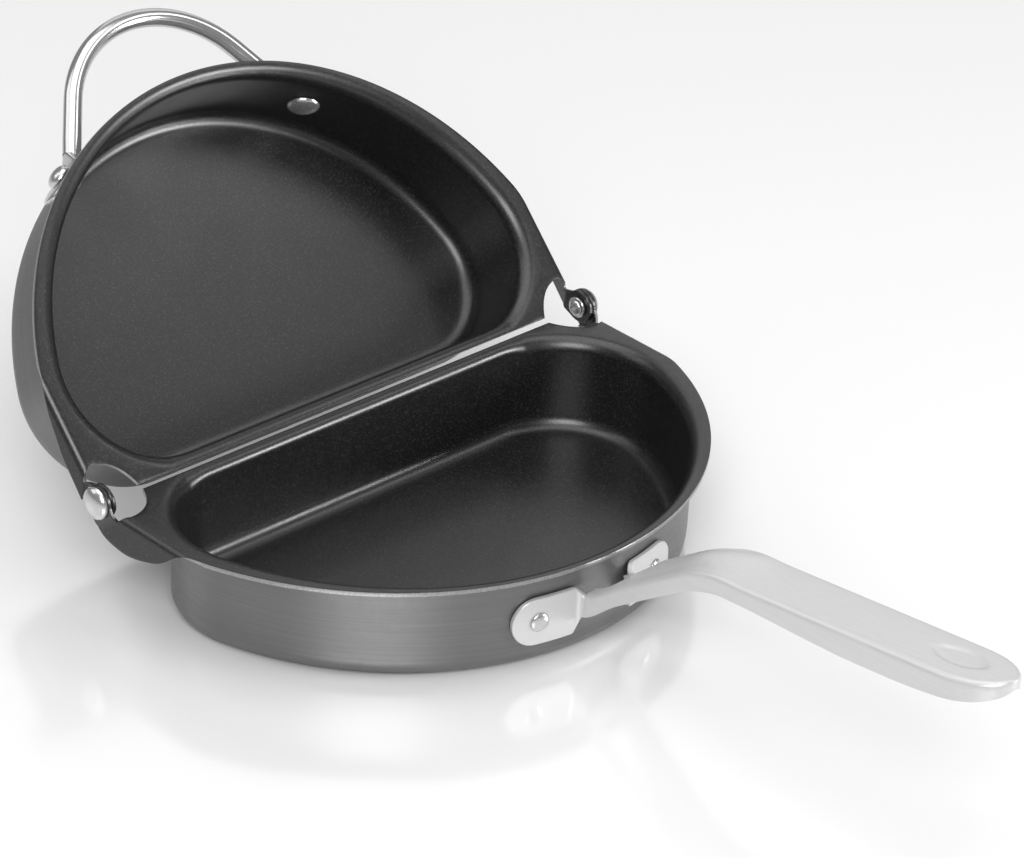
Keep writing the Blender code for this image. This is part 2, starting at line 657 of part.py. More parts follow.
def loop_stations():
    """(spot, outward, half thickness, half width) along half of the rod, from its middle.

    The bend's radius is the one that lets the leaning legs meet both the bend and the wall.
    """
    touch_radius = BODY_RADIUS + GAP + ROD_RADIUS
    touch = wall_point(SPADE_TOUCH_ANGLE, touch_radius, 0)
    front_y = BODY_CENTRE_Y - BODY_RADIUS - LOOP_REACH
    bend_radius = touch.x * math.tan(LOOP_LEG_ANGLE) - touch.y + front_y
    bend_radius /= 1 / math.cos(LOOP_LEG_ANGLE) - 1
    centre = Vector((0, front_y + bend_radius, 0))
    rows = []
    for step in range(BEND_SEGMENTS + 1):
        turn = LOOP_LEG_ANGLE * step / BEND_SEGMENTS
        outward = Vector((math.sin(turn), -math.cos(turn), 0))
        rows.append((centre + outward * bend_radius, outward, ROD_RADIUS, ROD_RADIUS))
    leg_end = centre + outward * bend_radius
    wall_out = wall_point(SPADE_TOUCH_ANGLE, 1, 0) - wall_point(SPADE_TOUCH_ANGLE, 0, 0)
    for step in range(1, 7):
        share = step / 6
        lean = smooth((share - 0.6) / 0.4)
        rows.append((leg_end.lerp(touch, share), outward.lerp(wall_out, lean / 2).normalized(),
                     ROD_RADIUS, ROD_RADIUS))
    flat_radius = BODY_RADIUS + GAP + SPADE_HALF_THICKNESS
    for step in range(1, 6):
        share = step / 5
        blend = smooth(share)
        turn = SPADE_TOUCH_ANGLE + (SPADE_FLAT_ANGLE - SPADE_TOUCH_ANGLE) * share
        radius = touch_radius + (flat_radius - touch_radius) * blend
        spread = ROD_RADIUS + (SPADE_HALF_WIDTH - ROD_RADIUS) * smooth(share)
        thin = ROD_RADIUS + (SPADE_HALF_THICKNESS - ROD_RADIUS) * blend
        wall_out = wall_point(turn, 1, 0) - wall_point(turn, 0, 0)
        rows.append((wall_point(turn, radius, 0), wall_out, thin, spread))
    rounding = SPADE_HALF_WIDTH / flat_radius
    for step in range(SPADE_SEGMENTS):
        turn = math.pi / 2 * step / SPADE_SEGMENTS
        bearing = SPADE_END_ANGLE - rounding + rounding * math.sin(turn)
        wall_out = wall_point(bearing, 1, 0) - wall_point(bearing, 0, 0)
        rows.append((wall_point(bearing, flat_radius, 0), wall_out,
                     SPADE_HALF_THICKNESS, SPADE_HALF_WIDTH * math.cos(turn)))
    return rows


def loop_handle(parent, material):
    half = loop_stations()
    mirrored = []
    for spot, outward, thin, wide in reversed(half[1:]):
        mirrored.append((Vector((-spot.x, spot.y, 0)), Vector((-outward.x, outward.y, 0)), thin, wide))
    rings = []
    level = RIM_Z - LOOP_DROP
    for spot, outward, thin, wide in mirrored + half:
        ring = []
        for step in range(ROD_SIDES):
            angle = math.tau * (step + 1 / 2) / ROD_SIDES
            flatness = (ROD_RADIUS - thin) / (ROD_RADIUS - SPADE_HALF_THICKNESS)
            push = math.copysign(abs(math.cos(angle)) ** (1 - flatness / 2), math.cos(angle))
            point = spot + outward * thin * push
            ring.append(Vector((point.x, point.y, level + wide * math.sin(angle))))
        rings.append(ring)
    bm = bmesh.new()
    stack(bm, rings)
    handle = make_object("loop_handle", bm, parent, material)
    for side, word in ((-1, "left"), (1, "right")):
        bearing = side * LOOP_RIVET_ANGLE
        out = wall_point(bearing, 1, 0) - wall_point(bearing, 0, 0)
        hole = drill(f"loop_handle_hole_{word}", wall_point(bearing, BODY_RADIUS, level), out,
                     RIVET_SHANK_RADIUS + GAP, parent)
        combine(handle, hole, "DIFFERENCE")
    return handle


def main():
    clear_scene()
    lower = empty("lower_frame", (0, HINGE_Y, HINGE_Z), (0, 0, 0))
    hinge = empty("hinge_axis", (0, HINGE_Y, HINGE_Z), (LID_TILT, 0, 0))
    upper = empty("upper_frame", (0, 0, 0), (0, 0, math.pi), hinge)
    coated = finish("coated aluminium", (0.12, 0.12, 0.125), 0.55, 0.6)
    brushed = finish("brushed steel", (0.62, 0.62, 0.61), 0.32, 1)
    polished = finish("polished steel", (0.7, 0.7, 0.7), 0.15, 1)
    lower_skirt = (LOWER_SKIRT_PAST_AXIS, LOWER_SKIRT_DEPTH, LOWER_SKIRT_SHARES)
    upper_skirt = (UPPER_SKIRT_PAST_AXIS, UPPER_SKIRT_DEPTH, UPPER_SKIRT_SHARES)
    handle_level = BASE_Z + HANDLE_EAR_LEVEL
    loop_level = RIM_Z - LOOP_DROP
    pan("lower_pan", lower, coated, lower_skirt, LOWER_EAR_X, HANDLE_RIVET_ANGLE, handle_level)
    pan("upper_pan", upper, coated.copy(), upper_skirt, UPPER_EAR_X, LOOP_RIVET_ANGLE, loop_level)
    long_handle(lower, brushed)
    loop_handle(upper, polished)
    handle_head = (HANDLE_HEAD_RADIUS, HANDLE_HEAD_HEIGHT)
    loop_head = (LOOP_HEAD_RADIUS, LOOP_HEAD_HEIGHT)
    for side, word in ((-1, "left"), (1, "right")):
        hinge_rivet(side, word, lower, polished.copy())
        hinge_washer(side, word, lower, brushed.copy())
        wall_rivet(f"long_handle_rivet_{word}", side * HANDLE_RIVET_ANGLE, handle_level,
                   HANDLE_SHEET, handle_head, lower, polished.copy())
        wall_rivet(f"loop_handle_rivet_{word}", side * LOOP_RIVET_ANGLE, loop_level,
                   SPADE_HALF_THICKNESS * 2, loop_head, upper, polished.copy())


main()
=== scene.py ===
# %% [markdown]
# # A double sided flip pan
#
# The real thing is two matching D-shaped pans, pressed from aluminium sheet and joined by a hinge
# along their straight sides. Inside they have a dark non-stick coat with a fine speckle, outside
# they are satin grey. The lower pan carries a long handle folded from steel sheet, and the upper
# pan a loop of steel rod. Rivets hold everything.
#
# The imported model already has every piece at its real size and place. Here each piece gets a
# finer mesh in the same place, and a finish that has the grain of the real surface. The packed
# meshes could also be smoothed as they are, but their few facets would still show in the rims,
# so each form is drawn again from its sizes.

import json
import math

import bmesh
import bpy
from mathutils import Matrix, Vector


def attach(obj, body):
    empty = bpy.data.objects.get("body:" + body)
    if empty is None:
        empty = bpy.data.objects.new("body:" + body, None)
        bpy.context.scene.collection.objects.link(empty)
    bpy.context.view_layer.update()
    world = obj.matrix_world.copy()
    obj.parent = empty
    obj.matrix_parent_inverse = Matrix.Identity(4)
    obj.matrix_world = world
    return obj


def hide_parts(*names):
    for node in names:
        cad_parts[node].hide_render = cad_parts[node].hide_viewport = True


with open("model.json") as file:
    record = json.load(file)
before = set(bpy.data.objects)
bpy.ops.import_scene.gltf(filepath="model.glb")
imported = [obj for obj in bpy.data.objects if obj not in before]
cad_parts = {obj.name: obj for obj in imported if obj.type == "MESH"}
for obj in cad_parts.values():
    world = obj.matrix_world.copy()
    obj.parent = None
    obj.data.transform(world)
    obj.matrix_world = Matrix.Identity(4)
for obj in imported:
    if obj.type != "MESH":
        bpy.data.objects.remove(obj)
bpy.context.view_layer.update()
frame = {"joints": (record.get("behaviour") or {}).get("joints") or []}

# %% [markdown]
# ## The half frame
#
# Both pans are the same pressing, so every mesh is drawn once, in a half frame: its origin is on
# the hinge axis, the bowl hangs below it and the round front points towards -Y. The lower pan is
# that half frame moved to the hinge. The upper pan is turned about Z and tilted up about the
# hinge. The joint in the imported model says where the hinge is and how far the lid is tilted. Each
# mesh keeps the half frame's coordinates, and its object carries the move, so a finish that reads
# object coordinates lies the same way on both pans.

# %% Where the two halves go
hinge_joint = frame["joints"][0]
hinge_spot = Vector(hinge_joint["pos_m"])
lid_tilt = -math.radians(hinge_joint["range_deg"][0])
lower_place = Matrix.Translation(hinge_spot)
upper_place = lower_place @ Matrix.Rotation(lid_tilt, 4, "X") @ Matrix.Rotation(math.pi, 4, "Z")
print("hinge at", tuple(round(value, 4) for value in hinge_spot))
print("lid tilt", round(math.degrees(lid_tilt), 2), "degrees")

# %% [markdown]
# ## Camera
#
# The camera stands front left of the pan and looks down at it through a long lens, as product
# photographers do to keep the far rim from shrinking. It could be placed by eye, but then no rim
# would line up. Its place, its turn and its lens come from fitting a pinhole to the rims, folds
# and hinge pins. A lens length in millimetres follows from the focal length in pixels and the
# width of the image.

# %% Set up the camera
IMAGE_WIDTH = 1024
SENSOR_WIDTH = 36
FOCAL_PIXELS = 4369.58
CAMERA_TO_HINGE = Vector((-0.95796, -1.01258, 0.82433))
CAMERA_AZIMUTH = math.radians(-45.84)
CAMERA_ELEVATION = math.radians(29.63)
CAMERA_ROLL = math.radians(3.85)

back = Vector((math.sin(CAMERA_AZIMUTH) * math.cos(CAMERA_ELEVATION),
               -math.cos(CAMERA_AZIMUTH) * math.cos(CAMERA_ELEVATION),
               math.sin(CAMERA_ELEVATION)))
level_right = Vector((math.cos(CAMERA_AZIMUTH), math.sin(CAMERA_AZIMUTH), 0))
level_up = back.cross(level_right)
right = math.cos(CAMERA_ROLL) * level_right + math.sin(CAMERA_ROLL) * level_up
up = math.cos(CAMERA_ROLL) * level_up - math.sin(CAMERA_ROLL) * level_right
turn = Matrix((right, up, back)).transposed().to_4x4()

camera_data = bpy.data.cameras.new("camera")
camera_data.sensor_width = SENSOR_WIDTH
camera_data.lens = FOCAL_PIXELS * SENSOR_WIDTH / IMAGE_WIDTH
camera = bpy.data.objects.new("camera", camera_data)
bpy.context.scene.collection.objects.link(camera)
camera_spot = Vector((CAMERA_TO_HINGE.x, CAMERA_TO_HINGE.y + hinge_spot.y, CAMERA_TO_HINGE.z))
camera.matrix_world = Matrix.Translation(camera_spot) @ turn
bpy.context.scene.camera = camera
print("lens", round(camera_data.lens, 2), "mm, camera at", tuple(round(value, 3) for value in camera_spot))

# %% [markdown]
# ## Floor
#
# Dark pans are often pictured on a glossy white table, which fades to white and shows a faint
# mirror image. A mirror under a half clear sheet could do that. A plain white sheet with a smooth
# surface and a high refractive index does it with one material.

# %% Lay the floor
FLOOR_REACH = 6
FLOOR_CELLS = 12
FLOOR_WHITE = 0.83
FLOOR_ROUGHNESS = 0.14
FLOOR_IOR = 2.5

floor_mesh = bmesh.new()
bmesh.ops.create_grid(floor_mesh, x_segments=FLOOR_CELLS, y_segments=FLOOR_CELLS, size=FLOOR_REACH)
floor_data = bpy.data.meshes.new("floor")
floor_mesh.to_mesh(floor_data)
floor_mesh.free()
floor = bpy.data.objects.new("floor", floor_data)
bpy.context.scene.collection.objects.link(floor)
table_white = bpy.data.materials.new("table_white")
table_white.use_nodes = True
table_shader = table_white.node_tree.nodes["Principled BSDF"]
table_shader.inputs["Base Color"].default_value = (FLOOR_WHITE, FLOOR_WHITE, FLOOR_WHITE, 1)
table_shader.inputs["Roughness"].default_value = FLOOR_ROUGHNESS
table_shader.inputs["IOR"].default_value = FLOOR_IOR
floor_data.materials.append(table_white)
print("floor", 2 * FLOOR_REACH, "m wide")

# %% [markdown]
# ## Lamps
#
# Coated metal shows its shape by what it mirrors, so each lamp is a square softbox with a place of
# its own. The one above lights the table and the handle. The lid's floor mirrors the small one,
# and glows there. The one at the right draws bright lines round the upper left of that floor and
# along the foot of the lower pan's back wall. The one by the camera lights the outside walls and
# draws the lines in the corners. The one at the left brightens the outside a little, and the one
# behind lights the lip at the hinge and the lower pan's floor. A picture of a studio on the world
# would be quicker, but a lamp can be moved until its line falls where it should. The world adds an
# even grey.

# %% Hang the lamps
# name: (place, side length, watts)
LAMPS = {
    "lamp_above": ((-0.1, 0.2, 2.2), 2.2, 28),
    "lamp_lid": ((0.6, -0.24, 0.82), 0.3, 0.7),
    "lamp_right": ((1, -1.25, 0.4), 0.45, 15),
    "lamp_camera": ((-1.2, -1.15, 1.3), 1.15, 30),
    "lamp_left": ((-1.1, 1.3, 1.3), 1.2, 6),
    "lamp_behind": ((1.75, 1.8, 1.35), 2, 8),
}
WORLD_GREY = 0.17


def hang_lamp(name, spot, size, power):
    """A square softbox that faces the pan."""
    data = bpy.data.lights.new(name, "AREA")
    data.size = size
    data.energy = power
    lamp = bpy.data.objects.new(name, data)
    bpy.context.scene.collection.objects.link(lamp)
    lamp.location = spot
    lamp.rotation_euler = Vector(spot).to_track_quat("Z", "Y").to_euler()


for lamp_name, (lamp_spot, lamp_size, lamp_power) in LAMPS.items():
    hang_lamp(lamp_name, lamp_spot, lamp_size, lamp_power)
world = bpy.data.worlds.new("studio")
world.use_nodes = True
background = world.node_tree.nodes["Background"]
background.inputs["Color"].default_value = (WORLD_GREY, WORLD_GREY, WORLD_GREY, 1)
bpy.context.scene.world = world
bpy.context.scene.view_settings.view_transform = "Standard"
print("lamps:", ", ".join(LAMPS))

# %% [markdown]
# ## Finishes
#
# A finish is a Principled shader with its colour, gloss and bumps driven by noise. Pictures of
# metal could be wrapped round the pieces instead, but they need unwrapped meshes and have a fixed
# sharpness. Noise in object coordinates needs neither, and has a real scale: a noise scale of 2000
# gives grains of half a millimetre on a model in metres.

# %% Start a finish
def new_finish(name, roughness, metallic):
    """An empty finish: its material, its node tree and its shader."""
    material = bpy.data.materials.new(name)
    material.use_nodes = True
    tree = material.node_tree
    shader = tree.nodes["Principled BSDF"]
    shader.inputs["Roughness"].default_value = roughness
    shader.inputs["Metallic"].default_value = metallic
    return material, tree, shader


print("a finish starts from", type(table_shader).__name__)

# %% [markdown]
# Squeezing the coordinates along one direction stretches the grains into streaks, which is how
# brushed steel and drawn aluminium get their lines. A colour ramp then turns the noise into a
# colour.

# %% Draw grains and streaks
RAMP_MIDDLE = 0.5


def noise(tree, scale, stretch=(1, 1, 1), detail=2):
    """Noise in object coordinates, squeezed by a factor along each axis."""
    place = tree.nodes.new("ShaderNodeTexCoord")
    squeeze = tree.nodes.new("ShaderNodeMapping")
    squeeze.inputs["Scale"].default_value = stretch
    texture = tree.nodes.new("ShaderNodeTexNoise")
    texture.inputs["Scale"].default_value = scale
    texture.inputs["Detail"].default_value = detail
    tree.links.new(place.outputs["Object"], squeeze.inputs["Vector"])
    tree.links.new(squeeze.outputs["Vector"], texture.inputs["Vector"])
    return texture.outputs["Fac"]


def ramp(tree, source, stops):
    """Turns a noise value into a colour through (position, colour) stops."""
    node = tree.nodes.new("ShaderNodeValToRGB")
    elements = node.color_ramp.elements
    while len(elements) < len(stops):
        elements.new(RAMP_MIDDLE)
    for element, (position, colour) in zip(elements, stops):
        element.position = position
        element.color = (*colour, 1)
    tree.links.new(source, node.inputs["Fac"])
    return node.outputs["Color"]


print("grain helpers ready")

# %% [markdown]
# One noise can drive colour, gloss and height together, so that a light grain also stands higher
# and scatters more light. Separate noises would give grains that have nothing to do with each
# other. Noise hardly ever leaves the middle of its range, so that middle is what gets spread.

# %% Drive gloss and bumps
NOISE_LOW = 0.3
NOISE_HIGH = 0.7


def to_range(tree, source, low, high):
    """Spreads a noise value over a range, for a roughness."""
    node = tree.nodes.new("ShaderNodeMapRange")
    node.inputs["From Min"].default_value = NOISE_LOW
    node.inputs["From Max"].default_value = NOISE_HIGH
    node.inputs["To Min"].default_value = low
    node.inputs["To Max"].default_value = high
    tree.links.new(source, node.inputs["Value"])
    return node.outputs["Result"]


def bump(tree, shader, source, height, strength):
    """Raises the surface by a noise value, in metres."""
    node = tree.nodes.new("ShaderNodeBump")
    node.inputs["Distance"].default_value = height
    node.inputs["Strength"].default_value = strength
    tree.links.new(source, node.inputs["Height"])
    tree.links.new(node.outputs["Normal"], shader.inputs["Normal"])


print("gloss and bump helpers ready")

# %% [markdown]
# ### Non-stick coat
#
# The coat is sprayed on and baked. Tiny mineral flakes make it sparkle: in the dark grey there is
# a fine lighter speckle, and the surface is faintly grainy. The flakes could be a cell texture,
# but cells look alike, and sprayed grains don't. So one fine noise gives both the speckle and the
# grain, and a broad one makes the gloss of the coat a little uneven.

# %% Make the non-stick coat
COAT_ROUGHNESS = (0.3, 0.35)
COAT_SPECULAR_LEVEL = 0.8
COAT_CLOUD_SCALE = 35
COAT_GRAIN_SCALE = 1400
COAT_GRAIN_DETAIL = 4
COAT_GRAIN_HEIGHT = 0.0001
COAT_GRAIN_STRENGTH = 0.35
COAT_TONES = (
    (0.36, (0.005, 0.005, 0.005)),
    (0.55, (0.008, 0.008, 0.008)),
    (0.7, (0.036, 0.036, 0.037)),
)

coat, coat_tree, coat_shader = new_finish("nonstick_coat", COAT_ROUGHNESS[0], 0)
coat_shader.inputs["Specular IOR Level"].default_value = COAT_SPECULAR_LEVEL
coat_grain = noise(coat_tree, COAT_GRAIN_SCALE, detail=COAT_GRAIN_DETAIL)
coat_tree.links.new(ramp(coat_tree, coat_grain, COAT_TONES), coat_shader.inputs["Base Color"])
coat_gloss = to_range(coat_tree, noise(coat_tree, COAT_CLOUD_SCALE), *COAT_ROUGHNESS)
coat_tree.links.new(coat_gloss, coat_shader.inputs["Roughness"])
bump(coat_tree, coat_shader, coat_grain, COAT_GRAIN_HEIGHT, COAT_GRAIN_STRENGTH)
print("made", coat.name)

# %% [markdown]
# ### Satin outside
#
# Outside, the aluminium has a thin grey metallic coat over fine drawing marks that run round the
# wall. Anisotropic gloss could stand in for the marks, but it draws no marks that the eye can
# follow. Squeezing the noise along the height makes level streaks. The metallic value stays a
# little under 1, for the coat.

# %% Make the satin outside
SATIN_METALLIC = 0.85
SATIN_ROUGHNESS = (0.32, 0.42)
SATIN_GRAIN_SCALE = 900
SATIN_STREAK_SCALE = 60
SATIN_STREAK_STRETCH = (0.35, 0.35, 22)
SATIN_STREAK_DETAIL = 4
SATIN_STREAK_HEIGHT = 0.00003
SATIN_STREAK_STRENGTH = 0.15
SATIN_TONES = (
    (0.25, (0.175, 0.175, 0.177)),
    (0.75, (0.205, 0.205, 0.208)),
)

satin, satin_tree, satin_shader = new_finish("satin_grey", SATIN_ROUGHNESS[0], SATIN_METALLIC)
satin_streaks = noise(satin_tree, SATIN_STREAK_SCALE, SATIN_STREAK_STRETCH, SATIN_STREAK_DETAIL)
satin_tree.links.new(ramp(satin_tree, satin_streaks, SATIN_TONES), satin_shader.inputs["Base Color"])
satin_gloss = to_range(satin_tree, noise(satin_tree, SATIN_GRAIN_SCALE), *SATIN_ROUGHNESS)
satin_tree.links.new(satin_gloss, satin_shader.inputs["Roughness"])
bump(satin_tree, satin_shader, satin_streaks, SATIN_STREAK_HEIGHT, SATIN_STREAK_STRENGTH)
print("made", satin.name)

# %% [markdown]
# ### Bare edge
#
# Where the press trimmed the sheet, the cut edge is bare aluminium, brighter than the coats and
# a little torn. Wear could be painted along every edge by its angle, but a pan wears first where
# it was cut, and the cut edge is a face of its own here, so it gets a finish of its own.

# %% Make the bare edge
BARE_METALLIC = 0.9
BARE_ROUGHNESS = 0.34
BARE_MARK_SCALE = 1400
BARE_MARK_HEIGHT = 0.00004
BARE_MARK_STRENGTH = 0.3
BARE_TONES = (
    (0.3, (0.28, 0.28, 0.28)),
    (0.7, (0.4, 0.4, 0.4)),
)

bare, bare_tree, bare_shader = new_finish("bare_edge", BARE_ROUGHNESS, BARE_METALLIC)
bare_marks = noise(bare_tree, BARE_MARK_SCALE)
bare_tree.links.new(ramp(bare_tree, bare_marks, BARE_TONES), bare_shader.inputs["Base Color"])
bump(bare_tree, bare_shader, bare_marks, BARE_MARK_HEIGHT, BARE_MARK_STRENGTH)
print("made", bare.name)

# %% [markdown]
# ### Steels
#
# The long handle is brushed along its length, so finely that it scatters light almost like paint,
# and its metallic value is low. The loop is drawn rod, polished, with hair-fine lines. Rivets are
# turned and tumbled, so their marks have no direction. Three finishes could be written out one by
# one, but only their streaks, their gloss and their greys differ, so one function makes all three.

# %% Make the steels
STEEL_MARK_DETAIL = 4
STEEL_MARK_HEIGHT = 0.00001


def steel(name, metallic, grey, gloss, scale, stretch, strength):
    """Steel with marks stretched along one direction. grey and gloss are (low, high)."""
    material, tree, shader = new_finish(name, gloss[0], metallic)
    marks = noise(tree, scale, stretch, STEEL_MARK_DETAIL)
    tones = ((NOISE_LOW, (grey[0],) * 3), (NOISE_HIGH, (grey[1],) * 3))
    tree.links.new(ramp(tree, marks, tones), shader.inputs["Base Color"])
    tree.links.new(to_range(tree, marks, *gloss), shader.inputs["Roughness"])
    bump(tree, shader, marks, STEEL_MARK_HEIGHT, strength)
    return material


brushed = steel("brushed_steel", metallic=0.25, grey=(0.57, 0.61), gloss=(0.3, 0.38),
                scale=1500, stretch=(1, 0.02, 1), strength=0.2)
polished = steel("polished_steel", metallic=0.85, grey=(0.62, 0.66), gloss=(0.13, 0.18),
                 scale=1200, stretch=(1, 0.05, 1), strength=0.1)
riveted = steel("rivet_steel", metallic=0.85, grey=(0.62, 0.67), gloss=(0.2, 0.26),
                scale=900, stretch=(1, 1, 1), strength=0.15)
print("made", brushed.name, polished.name, riveted.name)

# %% [markdown]
# ## Mesh helpers
#
# The big pieces here are bent sheet. Both sides could be drawn, but then they would have to be
# kept parallel. So one side is drawn as an open surface, and Solidify adds the thickness. It also
# gives the back face and the cut edge finishes of their own. A small Bevel rounds the cut edges,
# because no pressed edge is razor sharp. The modifiers are then turned into mesh, so that holes
# can be drilled in what they made.

# %% Helpers for pieces and sheets
MERGE = 0.000001
SMOOTH_ANGLE = math.radians(35)
EDGE_EASE = 0.0003
EDGE_EASE_STEPS = 2
EDGE_EASE_ANGLE = math.radians(60)


def new_piece(name, bm, place, materials):
    """Turns a bmesh into an object in the half frame, moved to its half of the pan."""
    bmesh.ops.remove_doubles(bm, verts=bm.verts, dist=MERGE)
    data = bpy.data.meshes.new(name)
    bm.to_mesh(data)
    bm.free()
    for material in materials:
        data.materials.append(material)
    data.shade_smooth()
    data.set_sharp_from_angle(angle=SMOOTH_ANGLE)
    piece = bpy.data.objects.new(name, data)
    bpy.context.scene.collection.objects.link(piece)
    piece.matrix_world = place
    return piece


def settle(piece):
    """Turns a piece's modifiers into its own mesh."""
    graph = bpy.context.evaluated_depsgraph_get()
    data = bpy.data.meshes.new_from_object(piece.evaluated_get(graph))
    piece.modifiers.clear()
    piece.data = data
    data.set_sharp_from_angle(angle=SMOOTH_ANGLE)


def thicken(piece, thickness):
    """Gives a surface its thickness, on its back, and rounds the cut edges."""
    body = piece.modifiers.new("thickness", "SOLIDIFY")
    body.thickness = thickness
    body.offset = -1
    rounding = piece.modifiers.new("rounding", "BEVEL")
    rounding.width = EDGE_EASE
    rounding.segments = EDGE_EASE_STEPS
    rounding.limit_method = "ANGLE"
    rounding.angle_limit = EDGE_EASE_ANGLE
    return body


print("sheet helpers ready")

# %% [markdown]
# ## The pans
#
# Each pan starts as a flat sheet. The press draws the bowl, turns a round shoulder into the lip,
# and folds a skirt down at both back corners, which ends in the hinge ear. A turned bowl could be
# cut to the D shape, but its folds would have to be added on. So the mesh follows the press.
# Columns run round the D outline. Rows climb from the flat floor over the floor's radius, the wall
# and the shoulder to the edge of the lip.

# %% Sizes of the pressing
SHEET = 0.0016
BODY_RADIUS = 0.11145
BODY_DEPTH = 0.1274
BODY_CORNER_RADIUS = 0.037
PAN_HEIGHT = 0.0393
FLOOR_EDGE_RADIUS = 0.0058
SHOULDER_RADIUS = 0.0056
WALL_TO_AXIS = 0.0036
RIM_TO_AXIS = hinge_spot.z - PAN_HEIGHT
RIM_RADIUS = 0.1224
FRONT_LIP = 0.0042
BACK_LIP_TO_AXIS = 0.0009

rim_z = -RIM_TO_AXIS
base_z = -hinge_spot.z
body_centre = Vector((0, BODY_RADIUS - BODY_DEPTH - WALL_TO_AXIS))
rim_centre = Vector((0, RIM_RADIUS - FRONT_LIP - BODY_DEPTH - WALL_TO_AXIS))
corner_y = -WALL_TO_AXIS - BODY_CORNER_RADIUS
corner_x = math.sqrt((BODY_RADIUS - BODY_CORNER_RADIUS) ** 2 - (corner_y - body_centre.y) ** 2)
corner_centre = Vector((corner_x, corner_y))
print("bowl", round(2000 * BODY_RADIUS, 1), "mm wide, rim", round(2000 * RIM_RADIUS, 1), "mm wide")

# %% [markdown]
# The trim of the lip is a circle in front, a straight line at the hinge, a fold line at each side
# and a curved notch that clears the hinge ears. Every point of the trim could be listed. A few
# sizes of the fold and the notch give all of them, and can be changed one at a time.

# %% Sizes of the folds and notches
FOLD_INSET = 0.0037
FOLD_BEND = 0.003
SKIRT_LEAN = math.radians(10)
NOTCH_TO_FOLD = 0.0052
NOTCH_WIDTH = 0.0135
NOTCH_DEPTH = 0.0123
NOTCH_CONTROL_SHARES = (0.33, 0.9)
NOTCH_STEPS = 24

fold_x = RIM_RADIUS - FOLD_INSET
fold_tangent_x = fold_x - FOLD_BEND
fold_front_y = rim_centre.y - math.sqrt(RIM_RADIUS ** 2 - fold_x ** 2)
fold_start_y = rim_centre.y - math.sqrt(RIM_RADIUS ** 2 - fold_tangent_x ** 2)
fold_back_y = -BACK_LIP_TO_AXIS - NOTCH_DEPTH
notch_end = Vector((fold_x - NOTCH_TO_FOLD, fold_back_y))
notch_start = notch_end + Vector((-NOTCH_WIDTH, NOTCH_DEPTH))
notch_control = notch_start + Vector((NOTCH_WIDTH * NOTCH_CONTROL_SHARES[0],
                                      -NOTCH_DEPTH * NOTCH_CONTROL_SHARES[1]))
print("fold from", round(1000 * fold_start_y, 1), "to", round(1000 * fold_back_y, 1), "mm")

# %% [markdown]
# The lip could be cut out of a wider sheet with a Boolean, but that leaves ragged triangles in a
# face that mirrors the lamps. Instead each column asks how far it may go: its way out is crossed
# with each line of the trim, and the nearest crossing wins.

# %% Find where the lip ends
def notch_points():
    """The curve of the notch, from the hinge side to the fold."""
    points = []
    for step in range(NOTCH_STEPS + 1):
        share = step / NOTCH_STEPS
        points.append(notch_start * (1 - share) ** 2 + notch_control * 2 * share * (1 - share)
                      + notch_end * share ** 2)
    return points + [Vector((fold_tangent_x, fold_back_y))]


def crossing(spot, out, first, second):
    """How far along the way out a line between two points is met, or infinity."""
    along = second - first
    turn = out.x * along.y - out.y * along.x
    if abs(turn) < MERGE ** 2:
        return math.inf
    gap = first - spot
    reach = (gap.x * along.y - gap.y * along.x) / turn
    share = (gap.x * out.y - gap.y * out.x) / turn
    return reach if reach > 0 and -MERGE < share < 1 + MERGE else math.inf


def lip_reach(spot, out):
    """How far the trimmed lip reaches from a point of the wall outline."""
    away = spot - rim_centre
    half = away.dot(out)
    reaches = [-half + math.sqrt(half ** 2 - away.length_squared + RIM_RADIUS ** 2)]
    if out.y > 0:
        reaches.append((-BACK_LIP_TO_AXIS - spot.y) / out.y)
    fold_line = (Vector((fold_tangent_x, fold_start_y)), Vector((fold_tangent_x, fold_back_y)))
    trim = notch_points()
    for first, second in [fold_line] + list(zip(trim, trim[1:])):
        reaches.append(crossing(spot, out, first, second))
    return min(reaches)


front_reach = lip_reach(body_centre + Vector((0, -BODY_RADIUS)), Vector((0, -1)))
print("lip reaches", round(1000 * front_reach, 2), "mm in front")

# %% [markdown]
# Columns could stand at even distances, but those that start or end a fold or a notch have to lie
# exactly on its corners. So the bearings of those corners are worked out first and the rest are
# spread between them.

# %% Spread the columns round the bowl
FRONT_STEPS = 60
KEY_STEPS = (6, 44, 4, 18, 26)
BACK_STEPS = 26


def corner_bearing(point):
    """The bearing of a point from the centre of the rounded corner."""
    away = Vector(point) - corner_centre
    return math.atan2(away.y, away.x)


def right_columns():
    """(wall point, way out) of the columns of the right half, from the front to the hinge."""
    meet = math.atan2(corner_y - body_centre.y, corner_x)
    keys = [meet]
    for corner in ((fold_tangent_x, fold_start_y), (fold_tangent_x, fold_back_y), notch_end, notch_start):
        keys.append(corner_bearing(corner))
    keys.append(math.pi / 2)
    columns = []
    for step in range(FRONT_STEPS):
        bearing = -math.pi / 2 + (meet + math.pi / 2) * step / FRONT_STEPS
        out = Vector((math.cos(bearing), math.sin(bearing)))
        columns.append((body_centre + out * BODY_RADIUS, out))
    for first, second, steps in zip(keys, keys[1:], KEY_STEPS):
        for step in range(steps):
            bearing = first + (second - first) * step / steps
            out = Vector((math.cos(bearing), math.sin(bearing)))
            columns.append((corner_centre + out * BODY_CORNER_RADIUS, out))
    for step in range(BACK_STEPS + 1):
        columns.append((Vector((corner_x * (1 - step / BACK_STEPS), -WALL_TO_AXIS)), Vector((0, 1))))
    return columns


half_columns = right_columns()
fold_columns = range(FRONT_STEPS + KEY_STEPS[0], FRONT_STEPS + KEY_STEPS[0] + KEY_STEPS[1] + 1)
print("columns in half a pan:", len(half_columns), "of which folded:", len(fold_columns))

